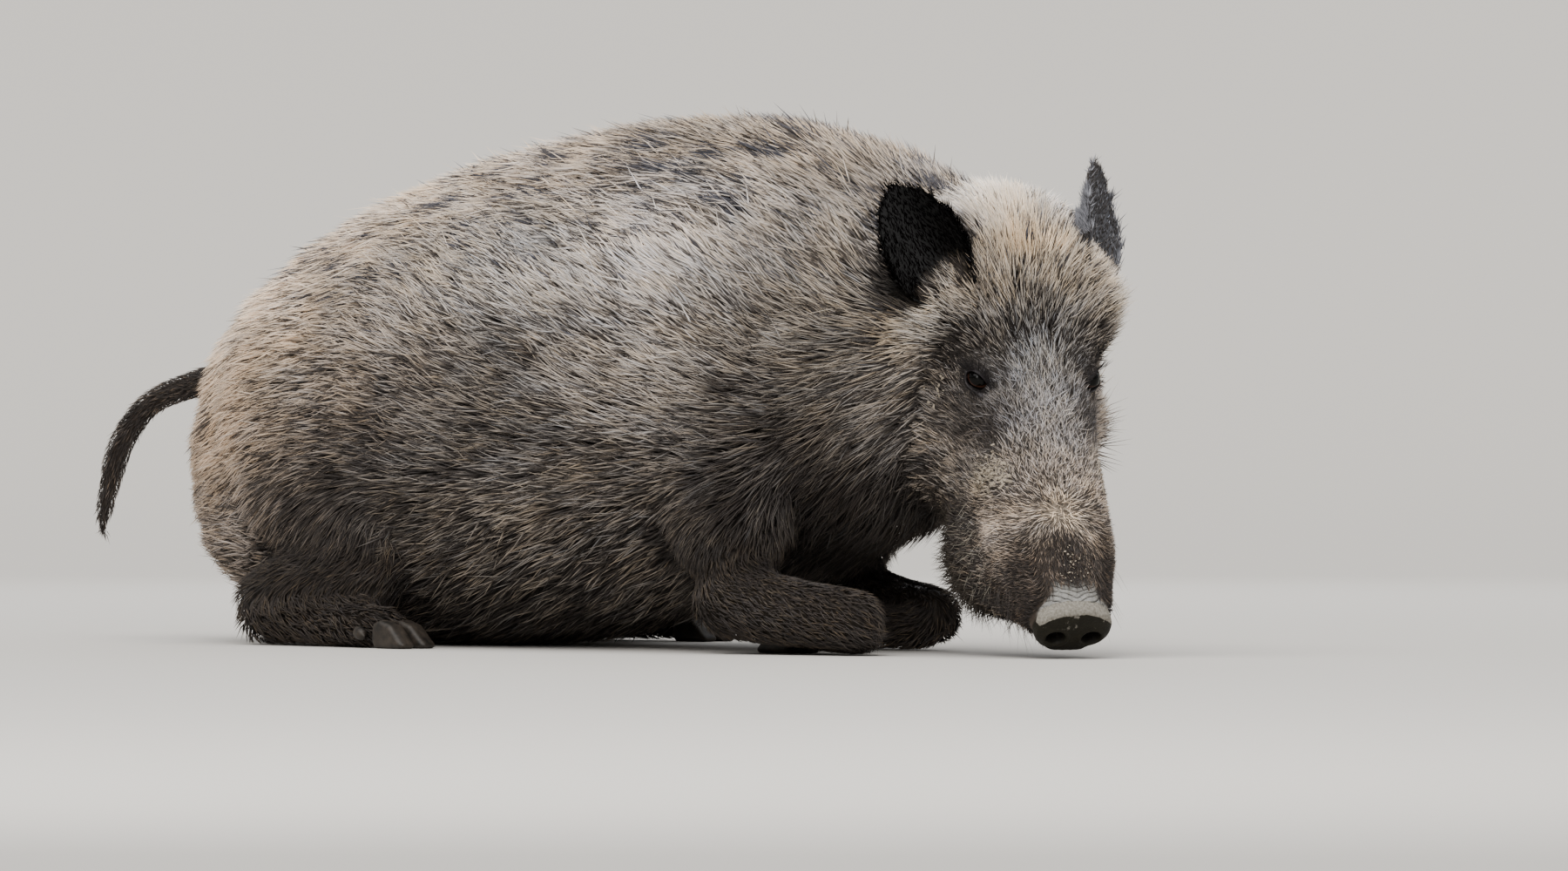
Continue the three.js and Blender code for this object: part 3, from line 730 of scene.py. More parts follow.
def cracks(points):
    """How deep each point lies in the cracks across the top of the snout, from 0 to 1."""
    h = in_snout(points)
    band = bare_leather(points) * (1 - ease(380, 383, h[:, 0]))
    notch = 5.5 * np.exp(-(h[:, 1] / 7) ** 2) - 0.012 * h[:, 1] ** 2
    wave = h[:, 0] - notch + 6 * (noise(points, 14, 3) - 0.5) + 3 * (noise(points, 5, 4) - 0.5)
    fold = ease(0.62, 0.92, 1 - np.abs(np.sin(wave * math.pi / CRACK_SPACING)))
    fine = ease(0.86, 1, 1 - np.abs(2 * noise(points, 4.5, 6) - 1))
    return band * np.clip(fold * (0.35 + 1.1 * noise(points, 11, 9)) + 0.35 * fine, 0, 1)


def boar_skin():
    """The skin's points, triangles and parts, with all its features."""
    dense, triangles = solid_flesh()
    dense, dense_parts = drawn_in(dense, triangles)
    h = in_head(dense)
    names = np.array(FLESH)[dense_parts]
    keep = np.isin(names, FACE) & (h[:, 0] > 40)
    keep |= np.isin(names, ["ear_left", "ear_right"])
    points, triangles = thinned(dense, triangles, ~keep, BODY_TRIANGLES)
    points, triangles = refined(points, triangles, fineness)

    tree = KDTree(len(dense))
    for i, p in enumerate(dense):
        tree.insert(p, i)
    tree.balance()
    parts = np.array([dense_parts[tree.find(p)[1]] for p in points])

    net = Net(len(points), triangles)
    close = fineness(points) < 10
    points = net.smooth(points, np.where(close, 3, 0))
    points = with_nostrils(with_leaning_disc(points))
    normals = normals_of(points, triangles)
    points = with_mouth(points, normals)
    points = points - normals * (CRACK_DEPTH * cracks(points))[:, None] * MM
    for eye in EYES:
        points = with_lids(points, eye)
    return points, triangles, parts, net


# ---- Colour and lie, the same for skin and coat -----------------------------------------------


def blend_of_marks(places, rows, spread):
    """At the places, a mean of the rows' last entries, a colour or a number, the nearest counting most."""
    total = 0.0
    weights = np.full(len(places), 1e-12)
    for *mark, value in rows:
        value = linear(value) if isinstance(value, str) else np.array([value])
        weight = np.exp(-0.5 * np.sum(((places - mark) / spread) ** 2, axis=1)) + 1e-12
        total = total + weight[:, None] * value
        weights += weight
    return total / weights[:, None]


def shade_of_coat(points, normals, names):
    """The colour of the hair tips at each point."""
    mm = points / MM
    shade = blend_of_marks(mm[:, [0, 2]], BODY_SHADES, (72, 38))
    h = in_head(points)
    h[:, 1] = np.abs(h[:, 1])
    head = np.isin(names, FACE)
    shade[head] = blend_of_marks(h[head], FACE_SHADES, 32)
    for x, y, z, reach, colour in FACE_PATCHES:
        near = nearness(h[:, 0] - x, h[:, 1] - y, h[:, 2] - z, reach)
        tint(shade, colour, near * (head | (x < 60) * (names == "neck")))
    leg = np.array([name in LEG_SHIFT for name in names])
    tint(shade, LEG_HAIR, (1 - ease(80, 170, mm[:, 2])) * leg)
    # Each ear's hair takes its painted colour: lit pale on the left, shaded near black on the right.
    for ear, colour in LIT_AND_SHADED_EAR_HAIR.items():
        shade[names == ear] = linear(colour)
    # Painted shadow below the right ear and painted shade in its cup: the hair there turns near black.
    off = (in_head(points) - EAR_SHADOW_BELOW["middle"]) / (0.8, 1, 1)
    edge = 1 - ease(-4, 4, np.linalg.norm(off, axis=1) - EAR_SHADOW_BELOW["reach"])
    tint(shade, SHADED_CUP_HAIR, np.maximum(in_cup(points, "ear_right"), edge))
    tail = names == "tail"
    # The tail's upward-facing side near its root turns paler: partly the rump's pale coat carried on, partly
    # a painted highlight from the light above.
    rooted = ease(-600, -545, mm[:, 0]) * ease(0.0, 0.7, normals[:, 2])
    shade[tail] = linear(TAIL_HAIR)
    shade[tail] += (rooted[:, None] * (linear(TAIL_ROOT) - linear(TAIL_HAIR)))[tail]
    return shade


def slate_streaks(points, normals, names):
    """How far the hair at each point belongs to a slate streak, from 0 to 1."""
    body = (names == "trunk") | (names == "neck")
    upper = ease(300, 440, points[:, 2] / MM) * body
    h = in_head(points)
    crown = (names == "head") * (1 - ease(0, 70, h[:, 0])) * ease(30, 60, h[:, 2])
    long_cells = noise(points, (30, 10, 8), 11)
    back = upper * ease(0.60, 0.70, long_cells) * (0.35 + 0.65 * ease(0.3, 0.8, normals[:, 2]))
    return back + 0.4 * crown * ease(0.6, 0.7, noise(h * MM, (34, 8, 30), 12))


def lie_of_coat(points, normals, names, net):
    """The way the hair runs at each point, as a unit vector in the skin."""
    mm = points / MM
    rise = np.radians(blend_of_marks(mm[:, [0, 2]], LIE, (80, 45))[:, 0])
    way = np.stack([-np.cos(rise), np.zeros(len(points)), np.sin(rise)], axis=1)
    way[:, 1] += 0.3 * np.clip(mm[:, 1] / 70, -1, 1) * ease(0.4, 0.9, normals[:, 2])

    h = in_head(points)
    facing = normals @ HEAD.T
    forward = 2 * ease(252, 300, h[:, 0]) - 1
    flank = ease(0.25, 0.75, np.abs(facing[:, 1]))
    down = 0.45 + 1.1 * ease(190, 270, h[:, 0])
    brow = 1 - ease(110, 160, h[:, 0])
    fan = 1.1 * np.clip(h[:, 1] / 75, -1, 1) * brow
    fan += 0.9 * np.clip(h[:, 1] / 16, -1, 1) * np.exp(-((h[:, 0] - 276) / 34) ** 2)
    flank *= 1 - 0.8 * brow * ease(20, 60, h[:, 2])
    face = np.stack([forward * (1 - flank) - flank, fan, -down * flank], axis=1) @ HEAD
    head = np.isin(names, FACE)
    way[head] = face[head]

    for part in list(EARS) + list(LEG_SHIFT) + ["tail"]:
        mine = names == part
        run = along_core(points[mine], core_of(part))[0]
        if part in LEG_SHIFT:
            run[:, 2] -= 0.25
            upper = ease(110, 190, mm[mine, 2])[:, None]
            run = run + (way[mine] - run) * upper
        way[mine] = run
    way = net.smooth(unit(way), 10)
    way -= normals * np.sum(way * normals, axis=1, keepdims=True)
    return unit(way)


def untidiness(points, names):
    """How far the hair at each point lies this way and that: most on the bridge of the nose."""
    h = in_head(points)
    bridge = ease(90, 150, h[:, 0]) * (1 - ease(235, 275, h[:, 0])) * ease(0, 30, h[:, 2])
    whorl = 5 * np.exp(-((h[:, 0] - 276) ** 2 + h[:, 1] ** 2) / 90) * ease(10, 30, h[:, 2])
    return (bridge + whorl) * (names == "head")


def standing(points, names):
    """Where bristles stand up from the skin, dark to well past their middle: over the brow."""
    h = in_head(points)
    brow = ease(0, 40, h[:, 0]) * (1 - ease(100, 125, h[:, 0])) * ease(0, 35, h[:, 2])
    return brow * (names == "head")


def bare_leather(points):
    """1 on the strip of bare, cracked leather above the snout disc."""
    h = in_snout(points)
    strip = ease(350, 357, h[:, 0] + 8 * (noise(points, 9, 33) - 0.5)) * ease(2, 10, h[:, 2])
    return strip * (1 - ease(21, 27, np.abs(h[:, 1]) - 14 * ease(366, 382, h[:, 0])))


def hide_colours(points, shade, depth):
    """The skin's colour: dark under deep fur, and that of bare hide on lids and snout, with painted shade in
    the nostrils and in the cracks of the snout.
    """
    colour = shade * 0.35
    colour += (np.minimum(linear(DARK_HAIR), 0.6 * shade) - colour) * ease(3, 14, depth)[:, None]
    h = in_snout(points)
    disc = ease(DISC_AT - 2, DISC_AT + 2, h[:, 0])
    tint(colour, CRACKED_LEATHER, bare_leather(points))
    tint(colour, DISC_LEATHER, disc)
    # Painted shade inside the nostrils: the colour turns near black within each hole.
    off_holes = np.minimum(off_nostril(h, -1), off_nostril(h, 1))
    tint(colour, SHADED_NOSTRIL, disc * (1 - ease(0.85, 1.1, off_holes)))
    lids = np.zeros(len(points))
    creases = np.zeros(len(points))
    for eye in EYES:
        q = eye.seen(points)
        close = np.linalg.norm(q, axis=1) < EYE_BARE
        d = eye.opening(q)
        lids = np.maximum(lids, (1 - ease(1.5, 2.3, d)) * close)
        creases = np.maximum(creases, np.exp(-((d - 1.32) / 0.13) ** 2) * (q[:, 1] < 0) * close)
    tint(colour, LID, lids)
    tint(colour, LOWER_LID, creases)
    # Painted shade in the cracks across the snout: the colour turns near black where they run deepest.
    return colour * (1 - 0.93 * cracks(points))[:, None]


def mud_on_snout(points):
    """How far dried mud covers each point: most on the rim of the disc and above it."""
    h = in_snout(points)
    rim = np.hypot(h[:, 1] / 44, (h[:, 2] + 0.5) / 30) + 0.08 * np.clip(h[:, 2] / 30, -1, 1)
    edge = ease(DISC_AT - 8, DISC_AT - 4, h[:, 0]) * ease(0.93, 1.05, rim)
    above = 0.36 * bare_leather(points) * (1 - cracks(points))
    return np.clip(np.maximum(edge, above) + 0.25 * (noise(points, 9, 51) - 0.5), 0, 1)


def bareness(points, names):
    """Where the skin grows no hair: 1 on the disc, in the nostrils and on the edges of the lids."""
    h = in_snout(points)
    bare = np.maximum(ease(DISC_AT - 8, DISC_AT - 3, h[:, 0]), bare_leather(points))
    for eye in EYES:
        q = eye.seen(points)
        close = (np.linalg.norm(q, axis=1) < 30) & (q[:, 2] > 0)
        bare = np.maximum(bare, close * (1 - ease(1.1, 1.4, eye.opening(q) - 0.25 * (q[:, 1] < 0))))
    return bare * np.isin(names, FACE)


# ---- The coat: closed tufts on the skin --------------------------------------------------------

PATCH = 0.003            # how far one tuft reaches on the coat's own map
LOCK = 15                # the size of the locks that long tufts lean together in
SMALL_LOCK = 6           # and short ones
STRAY = 0.02             # the share of tufts that stand off from the rest
BEND = 0.42              # how far along it each tuft bends
SPINDLE = np.array([(0, 1, 2), (0, 3, 1), (0, 2, 3), (4, 2, 1), (4, 1, 3), (4, 3, 2)])


def clump_of(points, size, seed):
    """The tuft clump that each point belongs to: its middle, and a shade of its own from 0 to 1."""
    cell = np.floor(points / (size * MM) + 500.5)
    random = [noise((cell + 0.5) * (1.7 * MM), 1.0, seed + i) for i in range(4)]
    middle = (cell - 500.0 + np.stack(random[:3], axis=1) - 0.5) * size * MM
    return middle, random[3]


def scattered(points, triangles, density, random):
    """Roots on the skin at that density (per square metre, at each point): triangle and share."""
    a, b, c = (points[triangles[:, i]] for i in range(3))
    area = np.linalg.norm(np.cross(b - a, c - a), axis=1) / 2
    wanted = np.cumsum(area * density[triangles].mean(axis=1))
    marks = np.arange(int(wanted[-1])) + random.random(int(wanted[-1]))
    chosen = np.minimum(np.searchsorted(wanted, marks), len(triangles) - 1)
    r, s = np.sqrt(random.random(len(chosen))), random.random(len(chosen))
    return chosen, np.stack([1 - r, r * (1 - s), r * s], axis=1)


def tuft_piece(name, root, way, out, size, shade, spread, material):
    """One piece of the coat: a closed spindle for each root, bent once, with its map and colours.

    size holds each tuft's length, width, height at the bend and at the tip, and sideways lean, in
    metres; shade its colour and how soon it turns pale; spread its place on the skin's unwrap.
    """
    count = len(root)
    side = np.cross(out, way)
    length, width, bend_height, tip_height, lean = size.T
    reach = np.sqrt(np.maximum(length ** 2 - tip_height ** 2, (0.3 * length) ** 2))
    bend = root + way * (BEND * reach)[:, None] + out * bend_height[:, None]
    tip = root + way * reach[:, None] + out * tip_height[:, None]
    tip += side * lean[:, None]
    bend += side * (0.3 * lean)[:, None]
    verts = np.stack([
        root - out * 0.002, bend + side * (width / 2)[:, None], bend - side * (width / 2)[:, None],
        bend + out * (width * 0.45)[:, None], tip], axis=1)
    verts[:, :, 2] = np.maximum(verts[:, :, 2], 0.0004 + 0.0004 * np.arange(5) / 5)
    faces = (np.arange(count)[:, None, None] * 5 + SPINDLE).reshape(-1, 3)
    mesh = mesh_of(name, verts.reshape(-1, 3), faces, smooth=False)

    colours = np.repeat(shade[:, None, :], 5, axis=1)
    colours[:, :, 3] += np.array([0.0, BEND, BEND, BEND, 1.0])
    give(mesh, "tuft", "FLOAT_COLOR", "color", colours)

    low, high = spread.min(axis=0), spread.max(axis=0)
    place = PATCH + (spread - low) / (high - low) * (1 - 2 * PATCH)
    corner = np.array([(0, -0.5), (-0.5, -0.08), (0.5, -0.08), (0, -0.08), (0, 0.5)]) * PATCH
    patch = (place[:, None, :] + corner[None]).reshape(-1, 2)
    mesh.uv_layers.new(name="OFBake")
    mesh.uv_layers["OFBake"].data.foreach_set("uv", patch[faces.ravel()].astype(np.float32).ravel())
    add_piece(name, mesh, material)


def coat_regions(points, names):
    """The name of the coat piece that each place belongs to."""
    x = points[:, 0] / MM
    angle = np.degrees(along_core(points, core_of("trunk"))[2])
    length = np.where(x > 150, "fore", np.where(x > -200, "mid", "rear"))
    ring = np.where(np.abs(angle) < 48, "back", np.where(np.abs(angle) > 125, "belly", "flank"))
    side = np.where(points[:, 1] > 0, "left", "right")
    region = np.char.add(np.char.add(ring, "_"), np.char.add(length, np.char.add("_", side)))
    head = np.isin(names, FACE)
    face = np.char.add("face_", side)
    return np.where(np.isin(names, ["trunk", "neck"]), region, np.where(head, face, names))


def greyness(tone):
    """How pale colours look, from 0 to 1."""
    return np.clip(tone @ (0.2126, 0.7152, 0.0722), 0, 1) ** 0.45


def paleness(tone):
    """How soon along its length a hair takes its tip's colour: early on pale hair, at once on dark."""
    grey = greyness(tone)
    return -0.45 + 0.85 * grey + 1.4 * (1 - ease(0.12, 0.3, grey))


def add_strands(name, root, way, out, length, colour, material, width=0.8, rise=0.8):
    """Single long hairs, such as lashes and whiskers; colour is one for each hair."""
    count = len(root)
    way = unit(way - out * np.sum(way * out, axis=1, keepdims=True))
    height = length * rise
    size = np.stack([
        length, np.full(count, width * MM), height * BEND, height,
        np.sin(np.arange(count) * 2.4) * 0.12 * length], axis=1)
    shade = np.insert(np.asarray(colour), 3, paleness(colour) + 0.3, axis=1)
    tuft_piece(name, root, way, out, size, shade, root[:, [0, 2]], material)


def add_lashes(material):
    """Long dark lashes on the upper lids, and a few short ones below."""
    random = np.random.default_rng(SEED + 1)
    for name, eye in zip(("lashes_left", "lashes_right"), EYES):
        angle = np.radians(np.concatenate([random.uniform(15, 175, 46), random.uniform(200, 330, 14)]))
        high = np.where(np.sin(angle) > 0, EYE_OPENING["up"], EYE_OPENING["down"])
        flat = np.stack([EYE_OPENING["half"] * np.cos(angle), high * np.sin(angle)], axis=1) * 1.04
        over = np.sqrt(np.maximum((eye.radius + EYE_OPENING["lid"]) ** 2 - np.sum(flat ** 2, axis=1), 4))
        root = np.column_stack([flat, over]) @ np.array([eye.across, eye.up, eye.out]) * MM + eye.centre
        way = np.column_stack([flat[:, 0] - 3, flat[:, 1] * 1.4]) @ np.array([eye.across, eye.up])
        length = np.where(np.sin(angle) > 0, random.uniform(12, 23, len(angle)), 7) * MM
        out = np.tile(eye.out, (len(angle), 1))
        colour = np.tile(linear("#1d1b1c"), (len(angle), 1))
        add_strands(name, root, way, out, length, colour, material, width=0.8, rise=0.5)


def add_ear_fringes(points, normals, names, materials):
    """The longer hairs along the edge of each ear, past its rim."""
    random = np.random.default_rng(SEED + 4)
    # The fringes take the same painted colours: pale where light catches the left ear, near black in the
    # right ear's shade.
    for ear, hex_colour in LIT_AND_SHADED_EAR_HAIR.items():
        q = in_ear(points, ear)
        _, tip, opening = (np.array(v, float) for v in EARS[ear])
        tip = unit(tip) @ HEAD
        sideways = unit(np.cross(tip, unit(opening) @ HEAD))
        edge = (np.abs(normals @ sideways) > 0.75) | (normals @ tip > 0.6)
        chosen = random.choice(np.flatnonzero((names == ear) & edge & (q[:, 2] > 30)), 1500)
        way = tip + 0.5 * normals[chosen] + random.normal(0, 0.25, (len(chosen), 3))
        length = random.uniform(9, 19, len(chosen)) * MM
        colour = linear(hex_colour) * random.uniform(0.4, 1.4, (len(chosen), 1))
        out = normals[chosen]
        add_strands("fringe_" + ear, points[chosen], way, out, length, colour, materials[ear], 0.9, rise=0.42)


def add_whiskers(points, normals, names, material):
    """The long stiff hairs on the sides of the snout, on the lips, under the chin and along the jaw."""
    random = np.random.default_rng(SEED + 2)
    h = in_head(points)
    h[~np.isin(names, ["head", "lower_jaw"])] = -1000
    wide = np.abs(h[:, 1])
    for name, mask, count, lengths, width, forward, fall, hex_colour in (
            ("snout_whiskers", (h[:, 0] > 296) & (h[:, 0] < 366) & (wide > 34) & (h[:, 2] < 10),
             80, (22, 46), 0.65, 0.7, 0.5, "#3b3634"),
            ("lip_hairs", (h[:, 0] > 230) & (h[:, 0] < 350) & (h[:, 2] < -24) & (h[:, 2] > -60) & (wide > 20),
             220, (18, 34), 0.8, 0.2, 1.4, "#2a2725"),
            ("throat_hairs", (h[:, 0] > 110) & (h[:, 0] < 300) & (h[:, 2] < -74),
             4200, (26, 46), 1.0, -0.9, 1.0, "#35302b"),
            ("pale_jaw_hairs", (h[:, 0] > 170) & (h[:, 0] < 310) & (wide > 40) & (h[:, 2] < -20),
             420, (12, 27), 0.55, -0.3, 0.8, "#918b7f")):
        chosen = random.choice(np.flatnonzero(mask), count)
        out = normals[chosen]
        way = HEAD[0] * forward - np.array([0, 0, fall]) + random.normal(0, 0.33, (count, 3))
        length = random.uniform(*lengths, count) * MM
        colour = linear(hex_colour) * random.uniform(0.6, 1.4, (count, 1))
        add_strands(name, points[chosen], way, out, length, colour, material, width, rise=0.5)


def add_mud_crumbs(points, normals, depth, material):
    """Crumbs of dried mud caught in the hair of the face."""
    random = np.random.default_rng(SEED + 3)
    h = in_head(points)
    blob = bmesh.new()
    bmesh.ops.create_icosphere(blob, subdivisions=1, radius=1.0)
    ball = np.array([v.co for v in blob.verts])
    faces = np.array([[v.index for v in f.verts] for f in blob.faces])
    blob.free()
    verts, tris = [], []
    for middle, reach, count, largest in (
            ((223, -51, 19), 20, 150, 2.9), ((226, 57, 14), 20, 70, 2.2), ((334, 2, 36), 17, 46, 1.5),
            ((128, 74, 46), 15, 26, 1.1), ((120, -78, 30), 24, 20, 0.8), ((104, -88, 2), 13, 18, 2.6),
            ((250, -30, 40), 50, 26, 0.9), ((250, 30, 40), 50, 20, 0.9)):
        weight = nearness(*(h - middle).T, reach)
        for i in random.choice(len(points), count, p=weight / weight.sum()):
            out = normals[i]
            size = largest * random.uniform(0.3, 1.0) * MM
            turn = unit(random.normal(size=(3, 3)))
            crumb = ball @ turn * random.uniform(0.6, 1.2, (len(ball), 1)) * size
            crumb -= np.outer(crumb @ out, out) * 0.6
            tris.append(faces + len(verts) * len(ball))
            verts.append(points[i] + out * random.uniform(0.85, 1.15) * depth[i] * MM + crumb)
    crumbs = mesh_of("mud_crumbs", np.concatenate(verts), np.concatenate(tris), smooth=False)
    add_piece("mud_crumbs", crumbs, material)


def add_coat(points, triangles, names, fields, bristle, down):
    """All the pieces of the coat."""
    values = fields["values"]
    random = np.random.default_rng(SEED)
    density = (1 - fields["bare"]) / (values[:, 3] * MM) ** 2
    chosen, share = scattered(points, triangles, density, random)
    corners = triangles[chosen]

    def at(field):
        return np.sum(field[corners] * (share[:, :, None] if field.ndim == 2 else share), axis=1)

    root, out, run = at(points), unit(at(fields["normals"])), at(fields["way"])
    count = len(root)
    depth, length, width, _ = at(values).T * MM
    long_hair = ease(14 * MM, 34 * MM, length)
    loose = at(fields["untidy"])
    upright = at(fields["standing"])
    turn = (noise(root, 13, 21) - 0.5) * (0.25 + 0.3 * long_hair)
    turn = turn + random.normal(0, 0.12, count) * (1 + 3 * loose)
    run = run * np.cos(turn)[:, None] + np.cross(out, run) * np.sin(turn)[:, None]
    run = unit(run - out * np.sum(run * out, axis=1, keepdims=True))
    stray = random.random(count) < STRAY
    length = length * random.uniform(0.72, 1.22, count) * (1 + 0.1 * stray)
    length = length * (0.85 + 0.3 * noise(root, 40, 19))
    width = width * random.uniform(0.75, 1.3, count)
    rise = random.uniform(0.72, 1.12, count) * (1 + 0.35 * stray + 0.3 * upright)
    tip_height = np.minimum(depth * rise, 0.9 * length)
    bend_height = tip_height * random.uniform(0.55, 0.75, count)
    across = np.cross(out, run)
    lock, lock_tone = clump_of(root, LOCK, 31)
    small_lock, small_tone = clump_of(root, SMALL_LOCK, 37)
    lean = np.sum((lock - root) * across, axis=1) * 0.7 * long_hair
    lean += np.sum((small_lock - root) * across, axis=1) * 0.6 * (1 - long_hair)
    lean += random.uniform(-0.13, 0.13, count) * length * (1 + 2 * stray + 1.2 * (1 - long_hair))
    clump_tone = lock_tone * long_hair + small_tone * (1 - long_hair)
    size = np.stack([length, width, bend_height, tip_height, lean], axis=1)

    tone = at(fields["shade"])
    darkness = np.clip(1.15 - 1.3 * greyness(tone), 0.08, 0.6) + 0.14 * (1 - long_hair)
    darkness += 0.6 * (noise(root, (30, 14, 14), 5) - 0.5)
    early = paleness(tone)
    deep = (random.random(count) < darkness)[:, None]
    bright = tone * (1.06 + 0.2 * (1 - long_hair))[:, None]
    tone = np.where(deep, np.minimum(linear(DARK_HAIR) * 1.5 + tone * 0.1, tone), bright)
    tone = np.where((random.random(count) < at(fields["slate"]))[:, None], linear(SLATE), tone)
    warmth = 0.13 * (noise(root, (40, 18, 16), 61) - 0.5) + random.normal(0, 0.04, count)
    tone = tone * (1 + warmth[:, None] * (1, 0.2, -1.1))
    mottle = 0.36 * (noise(root, 18, 8) - 0.5) + 0.42 * (clump_tone - 0.5)
    mottle = mottle + random.uniform(-0.2, 0.2, count) * (2 - long_hair)
    tone = tone * (1 + mottle)[:, None]
    pale = early - 0.14 * upright + 0.3 * (noise(root, 22, 44) - 0.5) + random.uniform(-0.08, 0.08, count)
    tone = np.concatenate([tone, pale[:, None]], axis=1)

    owner = names[corners[:, 0]]
    region = coat_regions(root, owner)
    for place in np.unique(region):
        mine = region == place
        if np.sum(mine) < 50:
            continue
        part = owner[np.flatnonzero(mine)[0]]
        _, distance, angle = along_core(root[mine], core_of(part))
        spread = np.stack([distance, angle], axis=1)
        # The right ear's coat takes the copy of the hair material with no gloss: painted shade for its cup.
        tuft_piece(
            "coat_" + place, root[mine], run[mine], out[mine], size[mine], tone[mine], spread,
            down if place == "ear_right" else bristle)


# ---- Materials -------------------------------------------------------------------------------


def node(tree, kind, inputs=None, **settings):
    """Adds a node: settings are its properties, and inputs its values or the sockets that feed it."""
    new = tree.nodes.new("ShaderNode" + kind)
    for key, value in settings.items():
        setattr(new, key, value)
    for key, value in (inputs or {}).items():
        if isinstance(value, bpy.types.NodeSocket):
            tree.links.new(value, new.inputs[key])
        else:
            new.inputs[key].default_value = value
    return new


def fresh_material(name):
    """An empty node material and its tree."""
    material = bpy.data.materials.new(name)
    material.use_nodes = True
    material.node_tree.nodes.clear()
    return material, material.node_tree


def rgba(colour):
    """A hex colour, or a linear one, with full alpha."""
    values = linear(colour) if isinstance(colour, str) else colour
    return (*[float(v) for v in values], 1.0)


def colour_stops(ramp, stops):
    """Sets a ramp's stops, each a place and a hex colour."""
    elements = ramp.color_ramp.elements
    while len(elements) < len(stops):
        elements.new(0.5)
    for element, (place, colour) in zip(elements, stops):
        element.position = place
        element.color = rgba(colour)


def hair_material(name, gloss):
    """Boar hair: stiff keratin, dark below and pale at the tip, dry and low in gloss; the copy with no gloss
    is painted shade, for the hair of the shaded right ear.
    """
    material, tree = fresh_material(name)
    tuft = node(tree, "Attribute", attribute_name="tuft")
    band = node(tree, "MapRange", {
        "Value": tuft.outputs["Alpha"], "From Min": 0.30, "From Max": 0.72}, interpolation_type="SMOOTHSTEP")
    colour = node(tree, "Mix", {
        0: band.outputs["Result"], 6: rgba(DARK_HAIR), 7: tuft.outputs["Color"]}, data_type="RGBA")
    shader = node(tree, "BsdfPrincipled", {
        "Base Color": colour.outputs[2], "Roughness": 0.62, "Specular IOR Level": gloss, "IOR": 1.55})
    node(tree, "OutputMaterial", {"Surface": shader.outputs[0]})
    return material


def hide_material():
    """Boar hide: thick skin, dry and pored, soft and leathery on the snout, where mud has dried on it."""
    material, tree = fresh_material("boar_hide")
    place = node(tree, "TexCoord").outputs["Object"]
    hide = node(tree, "Attribute", attribute_name="hide")
    mud = node(tree, "Attribute", attribute_name="mud")
    pores, mottle, crust = [node(tree, "TexNoise", {
        "Vector": place, "Scale": scale, "Detail": detail, "Roughness": 0.6})
        for scale, detail in ((420.0, 4.0), (70.0, 5.0), (150.0, 6.0))]
    spread = node(tree, "MapRange", {
        "Value": mottle.outputs[0], "From Min": 0.3, "From Max": 0.7, "To Min": 0.72, "To Max": 1.25})
    colour = node(
        tree, "Mix", {0: 1.0, 6: hide.outputs["Color"], 7: spread.outputs["Result"]},
        data_type="RGBA", blend_type="MULTIPLY")
    ragged = node(tree, "Math", {0: crust.outputs[0], 1: 0.9, 2: -0.45}, operation="MULTIPLY_ADD")
    edge = node(tree, "Math", {0: mud.outputs["Fac"], 1: ragged.outputs[0]}, operation="ADD")
    covered = node(tree, "MapRange", {
        "Value": edge.outputs[0], "From Min": 0.46, "From Max": 0.56}, interpolation_type="SMOOTHSTEP")
    dried = node(tree, "ValToRGB", {0: pores.outputs[0]})
    colour_stops(dried, [(0.3, "#5f5b52"), (0.7, "#8c8880")])
    both = node(tree, "Mix", {
        0: covered.outputs["Result"], 6: colour.outputs[2], 7: dried.outputs[0]}, data_type="RGBA")
    dryness = node(tree, "MapRange", {
        "Value": covered.outputs["Result"], "To Min": 0.5, "To Max": 0.92})
    skin_bump = node(tree, "Bump", {
        "Height": pores.outputs[0], "Strength": 0.5, "Distance": 0.0012})
    bump = node(tree, "Bump", {
        "Height": covered.outputs["Result"], "Strength": 0.6, "Distance": 0.001,
        "Normal": skin_bump.outputs[0]})
    shader = node(tree, "BsdfPrincipled", {
        "Base Color": both.outputs[2], "Roughness": dryness.outputs["Result"],
        "Specular IOR Level": 0.12, "Normal": bump.outputs[0]})
    node(tree, "OutputMaterial", {"Surface": shader.outputs[0]})
    return material


def mud_material():
    """Dried river mud: pale grey-brown, dull and grainy."""
    material, tree = fresh_material("dried_mud")
    place = node(tree, "TexCoord").outputs["Object"]
    grain = node(tree, "TexNoise", {"Vector": place, "Scale": 900.0, "Detail": 3.0})
    ramp = node(tree, "ValToRGB", {0: grain.outputs[0]})
    colour_stops(ramp, [(0.3, "#796f62"), (0.7, "#a09685")])
    bump = node(tree, "Bump", {"Height": grain.outputs[0], "Strength": 0.6, "Distance": 0.0006})
    shader = node(tree, "BsdfPrincipled", {
        "Base Color": ramp.outputs[0], "Roughness": 0.95, "Normal": bump.outputs[0]})
    node(tree, "OutputMaterial", {"Surface": shader.outputs[0]})
    return material


